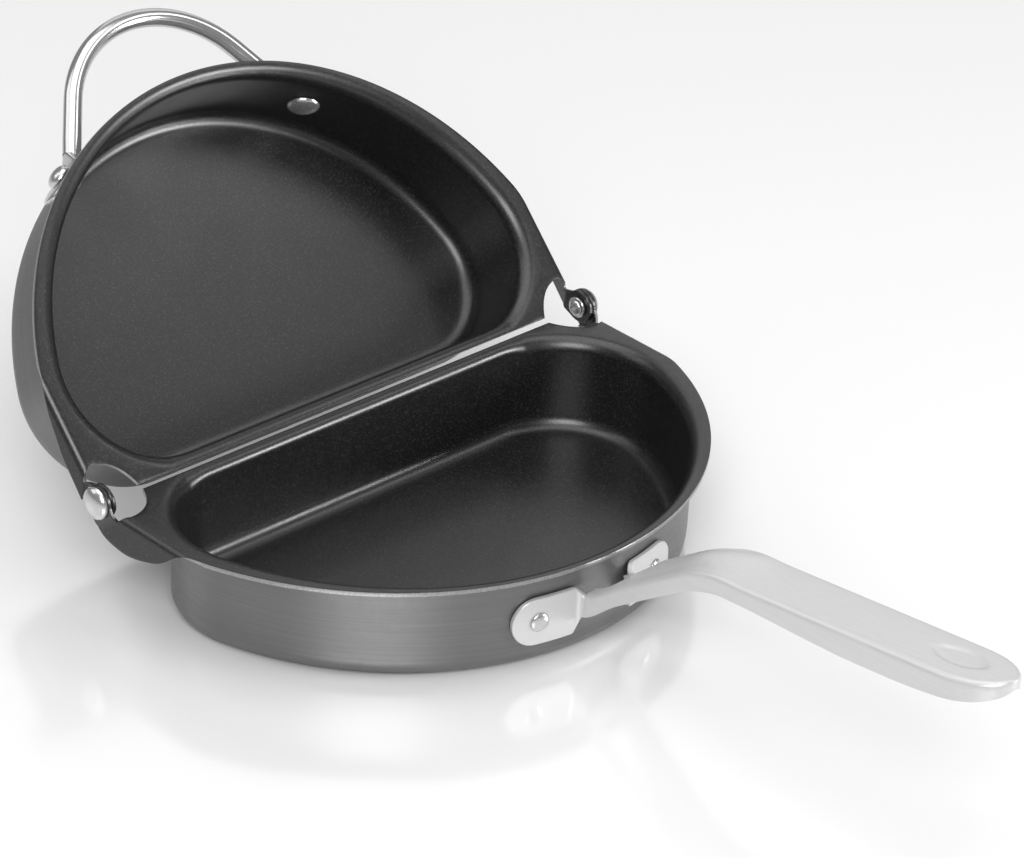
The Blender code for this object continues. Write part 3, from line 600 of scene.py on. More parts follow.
# %% [markdown]
# Seen from the side, the sheet is flat below, turns up through the floor's radius, stands straight
# as the wall and turns out through the shoulder into the level lip. One such section could be swept
# round the outline, but the lip is not equally long all the way. So each column is worked out by
# itself, and where the lip is short the shoulder is tighter, which always leaves a flat strip.

# %% Climb from the floor to the lip
FLOOR_RING = 0.0015
FILLET_STEPS = 10
WALL_STEPS = 5
SHOULDER_STEPS = 8
LIP_STEPS = 3
LEAST_FLAT_LIP = 0.0007


def climb(spot, out):
    """The points of one column from the floor to the end of the lip."""
    reach = lip_reach(spot, out)
    shoulder = min(SHOULDER_RADIUS, reach + SHEET - LEAST_FLAT_LIP)
    pairs = [(-SHEET - FLOOR_EDGE_RADIUS - FLOOR_RING, base_z + SHEET)]
    for step in range(FILLET_STEPS + 1):
        turn = math.pi / 2 * step / FILLET_STEPS
        pairs.append((-SHEET - FLOOR_EDGE_RADIUS * (1 - math.sin(turn)),
                      base_z + SHEET + FLOOR_EDGE_RADIUS * (1 - math.cos(turn))))
    wall_low = base_z + SHEET + FLOOR_EDGE_RADIUS
    wall_high = rim_z - shoulder
    for step in range(1, WALL_STEPS):
        pairs.append((-SHEET, wall_low + (wall_high - wall_low) * step / WALL_STEPS))
    for step in range(SHOULDER_STEPS + 1):
        turn = math.pi / 2 * step / SHOULDER_STEPS
        pairs.append((shoulder * (1 - math.cos(turn)) - SHEET, wall_high + shoulder * math.sin(turn)))
    lip_start = shoulder - SHEET
    for step in range(1, LIP_STEPS + 1):
        pairs.append((lip_start + (reach - lip_start) * step / LIP_STEPS, rim_z))
    points = []
    for offset, height in pairs:
        points.append(Vector((spot.x + out.x * offset, spot.y + out.y * offset, height)))
    return points


print("points in a column:", len(climb(*half_columns[0])))

# %% [markdown]
# The skirt is easiest to think of as still flat: its outline lies past the fold line, and one
# function bends any flat point down over the fold. A Simple Deform modifier could bend it too, but
# it bends a whole object, and here only what lies past the fold moves.

# %% Fold a skirt down
SKIRT_STEPS = 18
BEND_STEPS = 9
fold_turn = math.pi / 2 - SKIRT_LEAN
bend_drop = FOLD_BEND * (1 - math.cos(fold_turn))


def folded(x, y):
    """Where a point of the flat sheet lies after the sheet is bent down over the fold."""
    past = max(x - fold_tangent_x, 0)
    turn = min(past / FOLD_BEND, fold_turn)
    rest = past - turn * FOLD_BEND
    bent_x = min(x, fold_tangent_x) + FOLD_BEND * math.sin(turn) + rest * math.cos(fold_turn)
    bent_z = rim_z - FOLD_BEND * (1 - math.cos(turn)) - rest * math.sin(fold_turn)
    return Vector((bent_x, y, bent_z))


def unfolded(depth):
    """How far past the fold the flat sheet must reach to come down by a depth."""
    if depth <= bend_drop:
        return FOLD_BEND * math.acos(1 - depth / FOLD_BEND)
    return FOLD_BEND * fold_turn + (depth - bend_drop) / math.sin(fold_turn)


print("the bend alone comes down", round(1000 * bend_drop, 2), "mm")

# %% [markdown]
# The lower edge of a skirt, and the neck that rises from it to the ear, are smooth curves through
# a few chosen points. A curve object would need handles on each of them. The formula here passes
# through its points by itself, and the curve is then cut into steps of even length.

# %% Draw a smooth curve
def smooth_curve(points, steps):
    """Evenly spaced points on a smooth curve through a few points."""
    ends = [points[0] * 2 - points[1]] + list(points) + [points[-1] * 2 - points[-2]]
    dense = [points[0]]
    for before, first, second, after in zip(ends, ends[1:], ends[2:], ends[3:]):
        for step in range(1, steps + 1):
            t = step / steps
            dense.append(0.5 * (2 * first + (second - before) * t
                                + (2 * before - 5 * first + 4 * second - after) * t ** 2
                                + (3 * first - before - 3 * second + after) * t ** 3))
    lengths = [0]
    for first, second in zip(dense, dense[1:]):
        lengths.append(lengths[-1] + (second - first).length)
    even = []
    index = 0
    for step in range(steps + 1):
        wanted = lengths[-1] * step / steps
        while index < len(dense) - 2 and lengths[index + 1] < wanted:
            index += 1
        share = (wanted - lengths[index]) / (lengths[index + 1] - lengths[index])
        even.append(dense[index].lerp(dense[index + 1], min(share, 1)))
    return even


print("curve helper ready")

# %% [markdown]
# The skirts of the lower pan are deep and round, those of the upper pan shallow and straighter.
# Both could be drawn point by point. Here both follow from a length, a depth and a few shares of
# them, so one function draws both. The rows lie closer together in the bend.

# %% Draw both kinds of skirt
NECK_STEPS = 60
NECK_BOW_POWER = 3
LOWER_SKIRT_PAST_AXIS = 0.0008
LOWER_SKIRT_DEPTH = 0.012
LOWER_SKIRT_SHARES = ((0.2, 0.63), (0.37, 0.86), (0.55, 1), (0.7, 1), (0.88, 0.88), (1, 0.64))
UPPER_SKIRT_PAST_AXIS = -0.0042
UPPER_SKIRT_DEPTH = 0.0075
UPPER_SKIRT_SHARES = ((0.07, 0.28), (0.2, 0.49), (0.43, 0.73), (0.6, 0.88), (1, 1))
SKIRT_NECK_SHARES = ((0.77, 1.9), (0.5, 4.2))


def skirt_shares(flat_length):
    """Shares of a column of the skirt, closer together in the bend."""
    bend_share = FOLD_BEND * fold_turn / max(flat_length, MERGE)
    shares = []
    for step in range(1, SKIRT_STEPS + 1):
        if bend_share > BEND_STEPS / SKIRT_STEPS:
            shares.append(step / SKIRT_STEPS)
        elif step <= BEND_STEPS:
            shares.append(bend_share * step / BEND_STEPS)
        else:
            past_bend = (1 - bend_share) * (step - BEND_STEPS) / (SKIRT_STEPS - BEND_STEPS)
            shares.append(bend_share + past_bend)
    return shares


def skirt_rows(past_axis, depth, shares):
    """Rows of flat points past the fold line, for each folded column from the front to the ear."""
    steps = len(fold_columns) - 1
    length = past_axis - fold_front_y
    edge = [Vector((fold_tangent_x, fold_start_y)), Vector((fold_x, fold_front_y))]
    for along, down in shares:
        edge.append(Vector((fold_tangent_x + unfolded(depth * down), fold_front_y + length * along)))
    lower_edge = smooth_curve(edge, steps)
    neck = [Vector((fold_tangent_x, fold_back_y))]
    for along, down in SKIRT_NECK_SHARES:
        neck.append(Vector((fold_tangent_x + unfolded(RIM_TO_AXIS * down), fold_back_y * along)))
    neck = smooth_curve(neck + [edge[-1]], NECK_STEPS)
    rows = []
    for column, index in enumerate(fold_columns):
        spot, out = half_columns[index]
        top = spot + out * lip_reach(spot, out)
        share = (column / steps) ** NECK_BOW_POWER
        row = []
        for down in skirt_shares(lower_edge[column].x - fold_tangent_x):
            step = round(down * NECK_STEPS)
            bow = neck[step] - neck[0].lerp(neck[-1], step / NECK_STEPS)
            row.append(top.lerp(lower_edge[column], down) + bow * share)
        rows.append(row)
    return rows


lower_skirt = skirt_rows(LOWER_SKIRT_PAST_AXIS, LOWER_SKIRT_DEPTH, LOWER_SKIRT_SHARES)
upper_skirt = skirt_rows(UPPER_SKIRT_PAST_AXIS, UPPER_SKIRT_DEPTH, UPPER_SKIRT_SHARES)
print("skirt grid:", len(lower_skirt), "by", len(lower_skirt[0]))

# %% [markdown]
# The surface is now a grid: a closed loop of columns for the bowl and lip, a grid of quads for
# each skirt, and one flat face for the floor. The left half could be a Mirror modifier, but the
# floor is one face across both halves, so the columns are mirrored here.

# %% Draw a pressed surface
def pressed_surface(skirt):
    """The coated side of a pan as one open surface."""
    bm = bmesh.new()
    grid = []
    for spot, out in half_columns:
        grid.append([bm.verts.new(point) for point in climb(spot, out)])
    for column in reversed(grid[1:-1]):
        grid.append([bm.verts.new((-vert.co.x, vert.co.y, vert.co.z)) for vert in column])
    count = len(grid)
    for index, column in enumerate(grid):
        following = grid[(index + 1) % count]
        for row in range(len(column) - 1):
            bm.faces.new((column[row], column[row + 1], following[row + 1], following[row]))
    floor_face = bm.faces.new([column[0] for column in grid])
    for side in (1, -1):
        strips = []
        for row, index in zip(skirt, fold_columns):
            top = grid[index if side == 1 else count - index][-1]
            bent = [folded(point.x, point.y) for point in row]
            strips.append([top] + [bm.verts.new((side * point.x, point.y, point.z)) for point in bent])
        for first, second in zip(strips, strips[1:]):
            for row in range(SKIRT_STEPS):
                bm.faces.new((first[row], first[row + 1], second[row + 1], second[row]))
    bmesh.ops.remove_doubles(bm, verts=bm.verts, dist=MERGE)
    bmesh.ops.recalc_face_normals(bm, faces=bm.faces)
    bm.normal_update()
    if floor_face.normal.z < 0:
        bmesh.ops.reverse_faces(bm, faces=bm.faces)
    return bm


print("surface helper ready")

# %% [markdown]
# The thickness goes on the outside of the surface, as evenly as a press leaves it. Each side could
# be painted by picking its faces, but Solidify can hand out finishes by their place in the list:
# the coat stays on the surface, the next one goes outside and the last one on the cut edge.

# %% Press both pans
PAN_FINISHES = (coat, satin, bare)


def pressed_sheet(name, skirt, place):
    """A pan of even thickness with a rounded cut edge."""
    sheet = new_piece(name, pressed_surface(skirt), place, PAN_FINISHES)
    body = thicken(sheet, SHEET)
    body.use_even_offset = True
    body.material_offset = PAN_FINISHES.index(satin)
    body.material_offset_rim = PAN_FINISHES.index(bare)
    settle(sheet)
    return sheet


lower_sheet = pressed_sheet("lower_pan_sheet", lower_skirt, lower_place)
upper_sheet = pressed_sheet("upper_pan_sheet", upper_skirt, upper_place)
print("faces in the lower sheet:", len(lower_sheet.data.polygons))

# %% [markdown]
# ## Hinge ears
#
# Each skirt ends in a round ear on the hinge axis. The ear could be one more stretch of the grid,
# but it steps sideways while it narrows, which would twist the quads. A tongue lofted from flat
# sections and welded to its skirt with a Boolean union keeps its even thickness.

# %% Loft and join solids
def combine(piece, tool, operation):
    """Joins or cuts a piece with a tool shape, which is then thrown away."""
    modifier = piece.modifiers.new(operation, "BOOLEAN")
    modifier.operation = operation
    modifier.object = tool
    modifier.solver = "EXACT"
    settle(piece)
    bpy.data.objects.remove(tool, do_unlink=True)


def loft(bm, rings):
    """Joins equal rings of points into a closed solid."""
    loops = [[bm.verts.new(point) for point in ring] for ring in rings]
    for low, high in zip(loops, loops[1:]):
        for index in range(len(low)):
            following = (index + 1) % len(low)
            bm.faces.new((low[index], low[following], high[following], high[index]))
    bm.faces.new(reversed(loops[0]))
    bm.faces.new(loops[-1])
    bmesh.ops.remove_doubles(bm, verts=bm.verts, dist=MERGE)
    bmesh.ops.dissolve_degenerate(bm, edges=bm.edges, dist=MERGE)
    bmesh.ops.recalc_face_normals(bm, faces=bm.faces)


def ease(value):
    """Eases from 0 to 1."""
    value = min(max(value, 0), 1)
    return value * value * (3 - 2 * value)


def plate_ring(middle, across, out, half_width, half_thickness):
    """Eight points round the section of a flat plate whose long edges are eased."""
    cut = min(EDGE_EASE, half_width / 2)
    quarter = ((half_width - cut, half_thickness), (half_width, half_thickness - cut))
    half = quarter + tuple((a, -b) for a, b in reversed(quarter))
    whole = half + tuple((-a, b) for a, b in reversed(half))
    return [middle + across * a + out * b for a, b in whole]


print("solid helpers ready")

# %% [markdown]
# The lower ears lie outside. The upper ones step inwards on their necks, so that each pair lies
# face to face with the rivet through both. Seen from the side, an ear is a circle that runs out
# into a neck. The neck's lower side could end in the skirt anywhere. Here it follows the line from
# the circle to the skirt's corner, so that no step shows between them.

# %% Draw an ear from the side
EAR_RADIUS = 0.0064
EAR_OFFSET = 0.0013
EAR_PLAY = 0.0003
EAR_NECK_HALF_WIDTH = 0.0042
EAR_NECK_ANGLE = math.radians(38)
EAR_JOGGLE_START = 0.0068
EAR_JOGGLE_END = 0.0098
EAR_ROUND_STEPS = 18
EAR_NECK_STEPS = 14
NECK_TOP_END = (-0.0095, 0.0038)
LOWER_NECK_END = (-0.004, 0.009)
UPPER_NECK_END = (-0.0065, 0.0066)
lower_ear_x = fold_x + EAR_OFFSET
upper_ear_x = lower_ear_x - SHEET - EAR_PLAY
neck_along = Vector((-math.cos(EAR_NECK_ANGLE), -math.sin(EAR_NECK_ANGLE)))
neck_across = Vector((-neck_along.y, neck_along.x))


def width_at(points, place):
    """Height of a line through (place, height) points, or less than any height past its ends."""
    for first, second in zip(points, points[1:]):
        if first[0] <= place <= second[0]:
            return first[1] + (second[1] - first[1]) * (place - first[0]) / (second[0] - first[0])
    return -math.inf


def straight_sections(bottom_end):
    """(top side, bottom side, joggle share) of each section, where the neck has straight sides."""
    last = math.pi - math.asin(EAR_NECK_HALF_WIDTH / EAR_RADIUS)
    sections = []
    for step in range(EAR_ROUND_STEPS + 1):
        turn = last * step / EAR_ROUND_STEPS
        middle = neck_along * -EAR_RADIUS * math.cos(turn)
        half_width = neck_across * EAR_RADIUS * math.sin(turn)
        sections.append((middle - half_width, middle + half_width, 0))
    top, bottom = sections[-1][:2]
    top_end = Vector((NECK_TOP_END[0], rim_z - NECK_TOP_END[1]))
    for step in range(1, EAR_NECK_STEPS + 1):
        share = step / EAR_NECK_STEPS
        sides = (top.lerp(top_end, share), bottom.lerp(bottom_end, share))
        reach = ((sides[0] + sides[1]) / 2).length
        joggle = ease((reach - EAR_JOGGLE_START) / (EAR_JOGGLE_END - EAR_JOGGLE_START))
        sections.append((*sides, joggle))
    return sections


def ear_sections(neck_end, skirt_end):
    """The same sections, each widened to the line from the round ear to the corner of the skirt."""
    bottom_end = Vector((neck_end[0], rim_z - neck_end[1]))
    corner = Vector((skirt_end[0], rim_z - skirt_end[1]))
    turn = math.atan2(corner.y, corner.x) + math.acos(EAR_RADIUS / corner.length)
    touch = Vector((math.cos(turn), math.sin(turn))) * EAR_RADIUS
    line = [(spot.dot(neck_along), spot.dot(neck_across)) for spot in (touch, corner, bottom_end)]
    sections = []
    for top, bottom, share in straight_sections(bottom_end):
        more = max(width_at(line, bottom.dot(neck_along)) - bottom.dot(neck_across), 0)
        sections.append((top, bottom + neck_across * more, share))
    return sections


print("upper ears", round(1000 * (lower_ear_x - upper_ear_x), 2), "mm inside the lower ones")

# %% [markdown]
# Each section of the ear becomes a ring as thick as the sheet. At the hinge it stands upright at
# the ear's own distance from the middle. Along the neck it moves over to the skirt and takes on
# its lean. The rings could be bent by a modifier, but two numbers for each, its distance and its
# lean, are easier to steer.

# %% Weld the ears on
EAR_WELD_INSET = 0.00002


def add_ears(sheet, ear_x, neck_end, skirt_end, place):
    """Lofts an ear for each side of a pan and welds it on."""
    for side in (-1, 1):
        rings = []
        for top, bottom, share in ear_sections(neck_end, skirt_end):
            corners = []
            for point in (top, bottom):
                skirt_x = folded(fold_tangent_x + unfolded(rim_z - min(point.y, rim_z)), 0).x
                level = ear_x + (skirt_x - ear_x) * share - SHEET / 2
                corners.append(Vector((side * level, point.x, point.y)))
            middle = (corners[0] + corners[1]) / 2
            across = (corners[0] - corners[1]) / 2
            lean = (math.pi / 2 - fold_turn) * share
            out = Vector((side * math.cos(lean), 0, math.sin(lean)))
            half_thickness = SHEET / 2 - EAR_WELD_INSET
            rings.append(plate_ring(middle, across.normalized(), out, across.length, half_thickness))
        bm = bmesh.new()
        loft(bm, rings)
        combine(sheet, new_piece("ear", bm, place, (coat,)), "UNION")


lower_skirt_end = (LOWER_SKIRT_PAST_AXIS, LOWER_SKIRT_DEPTH * LOWER_SKIRT_SHARES[-1][1])
upper_skirt_end = (UPPER_SKIRT_PAST_AXIS, UPPER_SKIRT_DEPTH * UPPER_SKIRT_SHARES[-1][1])
add_ears(lower_sheet, lower_ear_x, LOWER_NECK_END, lower_skirt_end, lower_place)
add_ears(upper_sheet, upper_ear_x, UPPER_NECK_END, upper_skirt_end, upper_place)
print("faces with ears:", len(lower_sheet.data.polygons), len(upper_sheet.data.polygons))

# %% [markdown]
# ## Rivet holes
#
# The hinge pins and the handle rivets pass through holes that are a little wider than their
# shanks. A hole could be left open in the grid, but a drilled one can be moved without drawing the
# grid again. The cutter is turned, and the same turning function makes the rivets later.

# %% Turn and drill
TURNED_SIDES = 40
SHANK_CLEARANCE = 0.0003
HINGE_SHANK_RADIUS = 0.002
RIVET_SHANK_RADIUS = 0.0022
DRILL_HALF_LENGTH = 0.006


def turned_mesh(profile, origin, direction):
    """A turned solid in a bmesh. The profile lists (radius, distance along the direction)."""
    turn = Vector(direction).normalized().to_track_quat("Z", "Y").to_matrix()
    rings = []
    for radius, distance in profile:
        ring = []
        for step in range(TURNED_SIDES):
            angle = math.tau * step / TURNED_SIDES
            point = Vector((radius * math.cos(angle), radius * math.sin(angle), distance))
            ring.append(Vector(origin) + turn @ point)
        rings.append(ring)
    bm = bmesh.new()
    loft(bm, rings)
    return bm


def drill(piece, spot, direction, radius, place):
    """Drills a hole through a sheet."""
    wide = radius + SHANK_CLEARANCE
    cutter = turned_mesh(((wide, -DRILL_HALF_LENGTH), (wide, DRILL_HALF_LENGTH)), spot, direction)
    combine(piece, new_piece("drill", cutter, place, (bare,)), "DIFFERENCE")


print("drill helpers ready")

# %% [markdown]
# The wall in front is part of a cylinder, so a rivet's place on it is a bearing and a height. Plain
# coordinates would do, but a bearing also gives the way in which the rivet points.

# %% Drill the holes
HANDLE_RIVET_BEARING = math.radians(14.5)
HANDLE_EAR_LEVEL = 0.0193
LOOP_RIVET_BEARING = math.radians(31)
LOOP_DROP = 0.0191
handle_level = base_z + HANDLE_EAR_LEVEL
loop_level = rim_z - LOOP_DROP


def wall_spot(bearing, radius, height):
    """A point at a bearing round the bowl's front, where 0 is straight ahead."""
    return Vector((radius * math.sin(bearing), body_centre.y - radius * math.cos(bearing), height))


def wall_out(bearing):
    """The way out of the wall at a bearing."""
    return Vector((math.sin(bearing), -math.cos(bearing), 0))


def rivet_line(bearing, height):
    """Where a rivet's middle line meets the wall, and the way it points."""
    return wall_spot(bearing, BODY_RADIUS, height), wall_out(bearing)


for side in (-1, 1):
    handle_line = rivet_line(side * HANDLE_RIVET_BEARING, handle_level)
    loop_line = rivet_line(side * LOOP_RIVET_BEARING, loop_level)
    drill(lower_sheet, (side * lower_ear_x, 0, 0), (1, 0, 0), HINGE_SHANK_RADIUS, lower_place)
    drill(upper_sheet, (side * upper_ear_x, 0, 0), (1, 0, 0), HINGE_SHANK_RADIUS, upper_place)
    drill(lower_sheet, *handle_line, RIVET_SHANK_RADIUS, lower_place)
    drill(upper_sheet, *loop_line, RIVET_SHANK_RADIUS, upper_place)
print("drilled eight holes")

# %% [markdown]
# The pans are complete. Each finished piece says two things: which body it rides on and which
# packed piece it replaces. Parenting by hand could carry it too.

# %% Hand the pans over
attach(lower_sheet, "lower_half")
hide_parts("lower_pan")
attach(upper_sheet, "upper_half")
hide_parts("upper_pan")
print("pans ride on their bodies")

# %% [markdown]
# ## Long handle
#
# The long handle is one steel blank folded to an upside-down channel. It leaves the wall almost
# level, climbs steeply in a crowned neck, and bends back into a long, nearly level grip whose side
# walls swell for the palm. Towards the pan it is slit into two legs, and each leg ends in an ear
# that is bent outwards along the wall. It could be modelled flat and bent along a curve, but its
# bends, its crown and its side walls all change at their own rates. So each of them is a short
# function of the distance from the wall.

# %% Sizes of the long handle
HANDLE_SHEET = 0.0018
HANDLE_HALF_WIDTH = 0.0124
HANDLE_EDGE_RADIUS = 0.0026
HANDLE_REACH = 0.182
print("the handle reaches", 1000 * HANDLE_REACH, "mm out from the wall")

# %% [markdown]
# Seen from the side, the long edges of the channel are three straight lines with a bend between
# each two. They could be a smooth curve through a few points, but a press bends sheet in short
# arcs between straight stretches. So each bend is spread over a length of its own.

# %% Bend the foot, the neck and the grip
HANDLE_ROOT_HEIGHT = 0.026
FOOT_ANGLE = math.radians(12)
NECK_ANGLE = math.radians(34.9)
GRIP_ANGLE = math.radians(6.65)
FOOT_BEND_AT = 0.007
FOOT_BEND_LENGTH = 0.008
NECK_BEND_AT = 0.0558
NECK_BEND_LENGTH = 0.022


def bend_ramp(distance, length):
    """The extra rise after a bend that is spread over a length."""
    half = length / 2
    if distance <= -half:
        return 0
    if distance >= half:
        return distance
    return (distance + half) ** 2 / (2 * length)


def handle_edge(run):
    """Height above the base of the channel's long edges at a distance out from the wall."""
    foot = math.tan(FOOT_ANGLE)
    neck = math.tan(NECK_ANGLE)
    height = HANDLE_ROOT_HEIGHT + foot * run
    height += (neck - foot) * bend_ramp(run - FOOT_BEND_AT, FOOT_BEND_LENGTH)
    return height + (math.tan(GRIP_ANGLE) - neck) * bend_ramp(run - NECK_BEND_AT, NECK_BEND_LENGTH)


print("neck bend at", round(1000 * handle_edge(NECK_BEND_AT), 1), "mm above the base")

# %% [markdown]
# The top is crowned to make the neck stiff, and almost flat on the grip. A sculpted bulge could do
# that, but its height is simple to state: it eases in from the ears, eases out past the neck and
# leaves a small share along the grip.

# %% Crown the neck
CROWN_HEIGHT = 0.0052
CROWN_RISE_LENGTH = 0.028
CROWN_FALL_AT = 0.042
CROWN_FALL_LENGTH = 0.034
GRIP_CROWN_SHARE = 0.15


def handle_crown(run):
    """How far the middle of the top stands above its edges."""
    rise = ease(run / CROWN_RISE_LENGTH)
    fall = ease((run - CROWN_FALL_AT) / CROWN_FALL_LENGTH)
    return CROWN_HEIGHT * rise * (1 - (1 - GRIP_CROWN_SHARE) * fall)


print("crown on the grip", round(1000 * handle_crown(HANDLE_REACH), 2), "mm high")

# %% [markdown]
# The side walls are low at the legs, flare at the root, swell under the palm and shrink in a
# quarter of an oval towards the tip. The blank could be cut to that outline and then folded. Only
# the height of the wall shows, so that height is what one function gives.

# %% Shape the side walls
LEG_SIDE_HEIGHT = 0.0066
ROOT_FLARE = 0.0032
ROOT_FLARE_LENGTH = 0.02
GRIP_SIDE_HEIGHT = 0.0098
TIP_SIDE_HEIGHT = 0.003
GRIP_SWELL_AT = 0.062
GRIP_SWELL_LENGTH = 0.066
GRIP_FALL_LENGTH = 0.044


def handle_side(run):
    """Height of the channel's side walls."""
    swell = ease((run - GRIP_SWELL_AT) / GRIP_SWELL_LENGTH)
    height = LEG_SIDE_HEIGHT + (GRIP_SIDE_HEIGHT - LEG_SIDE_HEIGHT) * swell
    height += ROOT_FLARE * (1 - ease(run / ROOT_FLARE_LENGTH))
    into_fall = (run - HANDLE_REACH + GRIP_FALL_LENGTH) / GRIP_FALL_LENGTH
    if into_fall <= 0:
        return height
    return TIP_SIDE_HEIGHT + (height - TIP_SIDE_HEIGHT) * math.sqrt(max(1 - into_fall ** 2, 0))


print("side walls at the root", round(1000 * handle_side(0), 1), "mm high")

# %% [markdown]
# A shallow oval is pressed in near the tip. A Boolean with a flattened ball would cut it with a
# sharp rim. Lowering the top by an eased depth gives the soft rim of a pressed mark.

# %% Press the dimple
DIMPLE_TO_TIP = 0.0232
DIMPLE_LENGTH = 0.0245
DIMPLE_WIDTH = 0.0112
DIMPLE_DEPTH = 0.0009
DIMPLE_EDGE_SHARE = 0.3


def dimple(x, run):
    """Depth of the pressed oval near the tip."""
    along = (run - HANDLE_REACH + DIMPLE_TO_TIP) / (DIMPLE_LENGTH / 2)
    inside = 1 - math.hypot(along, x / (DIMPLE_WIDTH / 2))
    return DIMPLE_DEPTH * ease(inside / DIMPLE_EDGE_SHARE)


print("dimple", round(1000 * dimple(0, HANDLE_REACH - DIMPLE_TO_TIP), 1), "mm deep")

# %% [markdown]
# A section across the channel goes from the middle of the top over a rounded edge down the side
# wall. A bent tube with its bottom cut off would look alike, but an open surface can be thickened
# evenly. Half a section is enough, because the other half mirrors it.

# %% Cut a section across the channel
TOP_STEPS = 12
EDGE_STEPS = 5
SIDE_STEPS = 5


def channel_section(run, half_width):
    """Half of a section from the middle of the top to the bottom of a side wall."""
    edge_radius = min(HANDLE_EDGE_RADIUS, half_width)
    flat = half_width - edge_radius
    points = []
    for step in range(TOP_STEPS + 1):
        x = flat * step / TOP_STEPS
        rise = handle_crown(run) * (1 - (x / HANDLE_HALF_WIDTH) ** 2) - dimple(x, run)
        points.append((x, handle_edge(run) + rise))
    top = points[-1][1]
    for step in range(1, EDGE_STEPS + 1):
        turn = math.pi / 2 * step / EDGE_STEPS
        points.append((flat + edge_radius * math.sin(turn), top - edge_radius * (1 - math.cos(turn))))
    low = handle_edge(run) - handle_side(run)
    high = points[-1][1]
    for step in range(1, SIDE_STEPS + 1):
        points.append((half_width, high + (low - high) * step / SIDE_STEPS))
    return points


print("points in half a section:", len(channel_section(NECK_BEND_AT, HANDLE_HALF_WIDTH)))

# %% [markdown]
# The sections are strung along the handle. The tip is round seen from above, so there the sections
# follow a quarter turn: they come closer together and get narrower until the last one is an
# upright line. A Bevel could round a square tip, but only into a half circle, and this tip is
# longer than that.

# %% Loft the folded channel
TIP_LENGTH = 0.021
RUN_STEPS = 120
TIP_STEPS = 28


def bend_reach():
    """Radius and bearing of the bend between ear and leg, and how far out the leg starts."""
    middle = BODY_RADIUS + SHANK_CLEARANCE + HANDLE_SHEET / 2
    bend = HANDLE_EDGE_RADIUS + HANDLE_SHEET / 2
    bearing = math.asin((HANDLE_HALF_WIDTH - HANDLE_SHEET / 2 + bend) / (middle + bend))
    return middle, bend, bearing, (middle + bend) * math.cos(bearing) - BODY_RADIUS


def channel_surface():
    """The outer side of the channel as one open surface."""
    root = bend_reach()[3]
    tip_start = HANDLE_REACH - TIP_LENGTH
    stations = [(root + (tip_start - root) * step / RUN_STEPS, 0) for step in range(RUN_STEPS + 1)]
    stations += [(tip_start, math.pi / 2 * step / TIP_STEPS) for step in range(1, TIP_STEPS + 1)]
    bm = bmesh.new()
    rows = []
    for start, turn in stations:
        run = start + TIP_LENGTH * math.sin(turn)
        half = channel_section(run, HANDLE_HALF_WIDTH * max(math.cos(turn), 0))
        row = [(-x, z) for x, z in reversed(half)] + half[1:]
        y = body_centre.y - BODY_RADIUS - run
        rows.append([bm.verts.new((x, y, base_z + z)) for x, z in row])
    for first, second in zip(rows, rows[1:]):
        for column in range(len(first) - 1):
            bm.faces.new((first[column], second[column], second[column + 1], first[column + 1]))
    bmesh.ops.remove_doubles(bm, verts=bm.verts, dist=MERGE)
    bmesh.ops.dissolve_degenerate(bm, edges=bm.edges, dist=MERGE)
    bm.normal_update()
    return bm


channel = new_piece("long_handle_channel", channel_surface(), lower_place, (brushed,))
thicken(channel, HANDLE_SHEET)
settle(channel)
print("faces in the channel:", len(channel.data.polygons))

# %% [markdown]
# The legs are freed by a narrow V-shaped slit, rounded at its point. It could be left out of the
# rows, but no row follows its slanted sides, so it is cut out with a wedge.

# %% Slit the legs
SLIT_LENGTH = 0.035
SLIT_HALF_WIDTH = 0.0083
SLIT_END_RADIUS = 0.0012
SLIT_END_STEPS = 12
LEG_TONGUE_LENGTH = 0.005


def slit_rings():
    """The wedge that opens the slit, as its outline below the handle and high above it."""
    start_y = body_centre.y - BODY_RADIUS + LEG_TONGUE_LENGTH
    end_y = body_centre.y - BODY_RADIUS - SLIT_LENGTH
    lean = math.atan2(SLIT_HALF_WIDTH - SLIT_END_RADIUS, SLIT_LENGTH)
    outline = [(-SLIT_HALF_WIDTH, start_y)]
    for step in range(SLIT_END_STEPS + 1):
        angle = -math.pi + lean + (math.pi - 2 * lean) * step / SLIT_END_STEPS
        outline.append((SLIT_END_RADIUS * math.cos(angle), end_y + SLIT_END_RADIUS * math.sin(angle)))
    outline.append((SLIT_HALF_WIDTH, start_y))
    return [[Vector((x, y, level)) for x, y in outline] for level in (base_z, base_z + HANDLE_REACH)]


slit_mesh = bmesh.new()
loft(slit_mesh, slit_rings())
combine(channel, new_piece("slit", slit_mesh, lower_place, (brushed,)), "DIFFERENCE")
print("faces in the slit channel:", len(channel.data.polygons))

# %% [markdown]
# Each leg ends in an ear: round at the rivet, curved along the wall, bent out through a quarter
# turn and tucked into the leg. Bending a flat shape in three ways needs three modifiers in the
# right order. A ribbon of upright sections goes the same way in one list.

# %% Lay out an ear's ribbon
HANDLE_EAR_HALF_HEIGHT = 0.0094
HANDLE_EAR_ANGLE = math.radians(19.9)
EAR_END_STEPS = 12
EAR_ALONG_STEPS = 8
EAR_BEND_STEPS = 12
TUCK = 0.0001


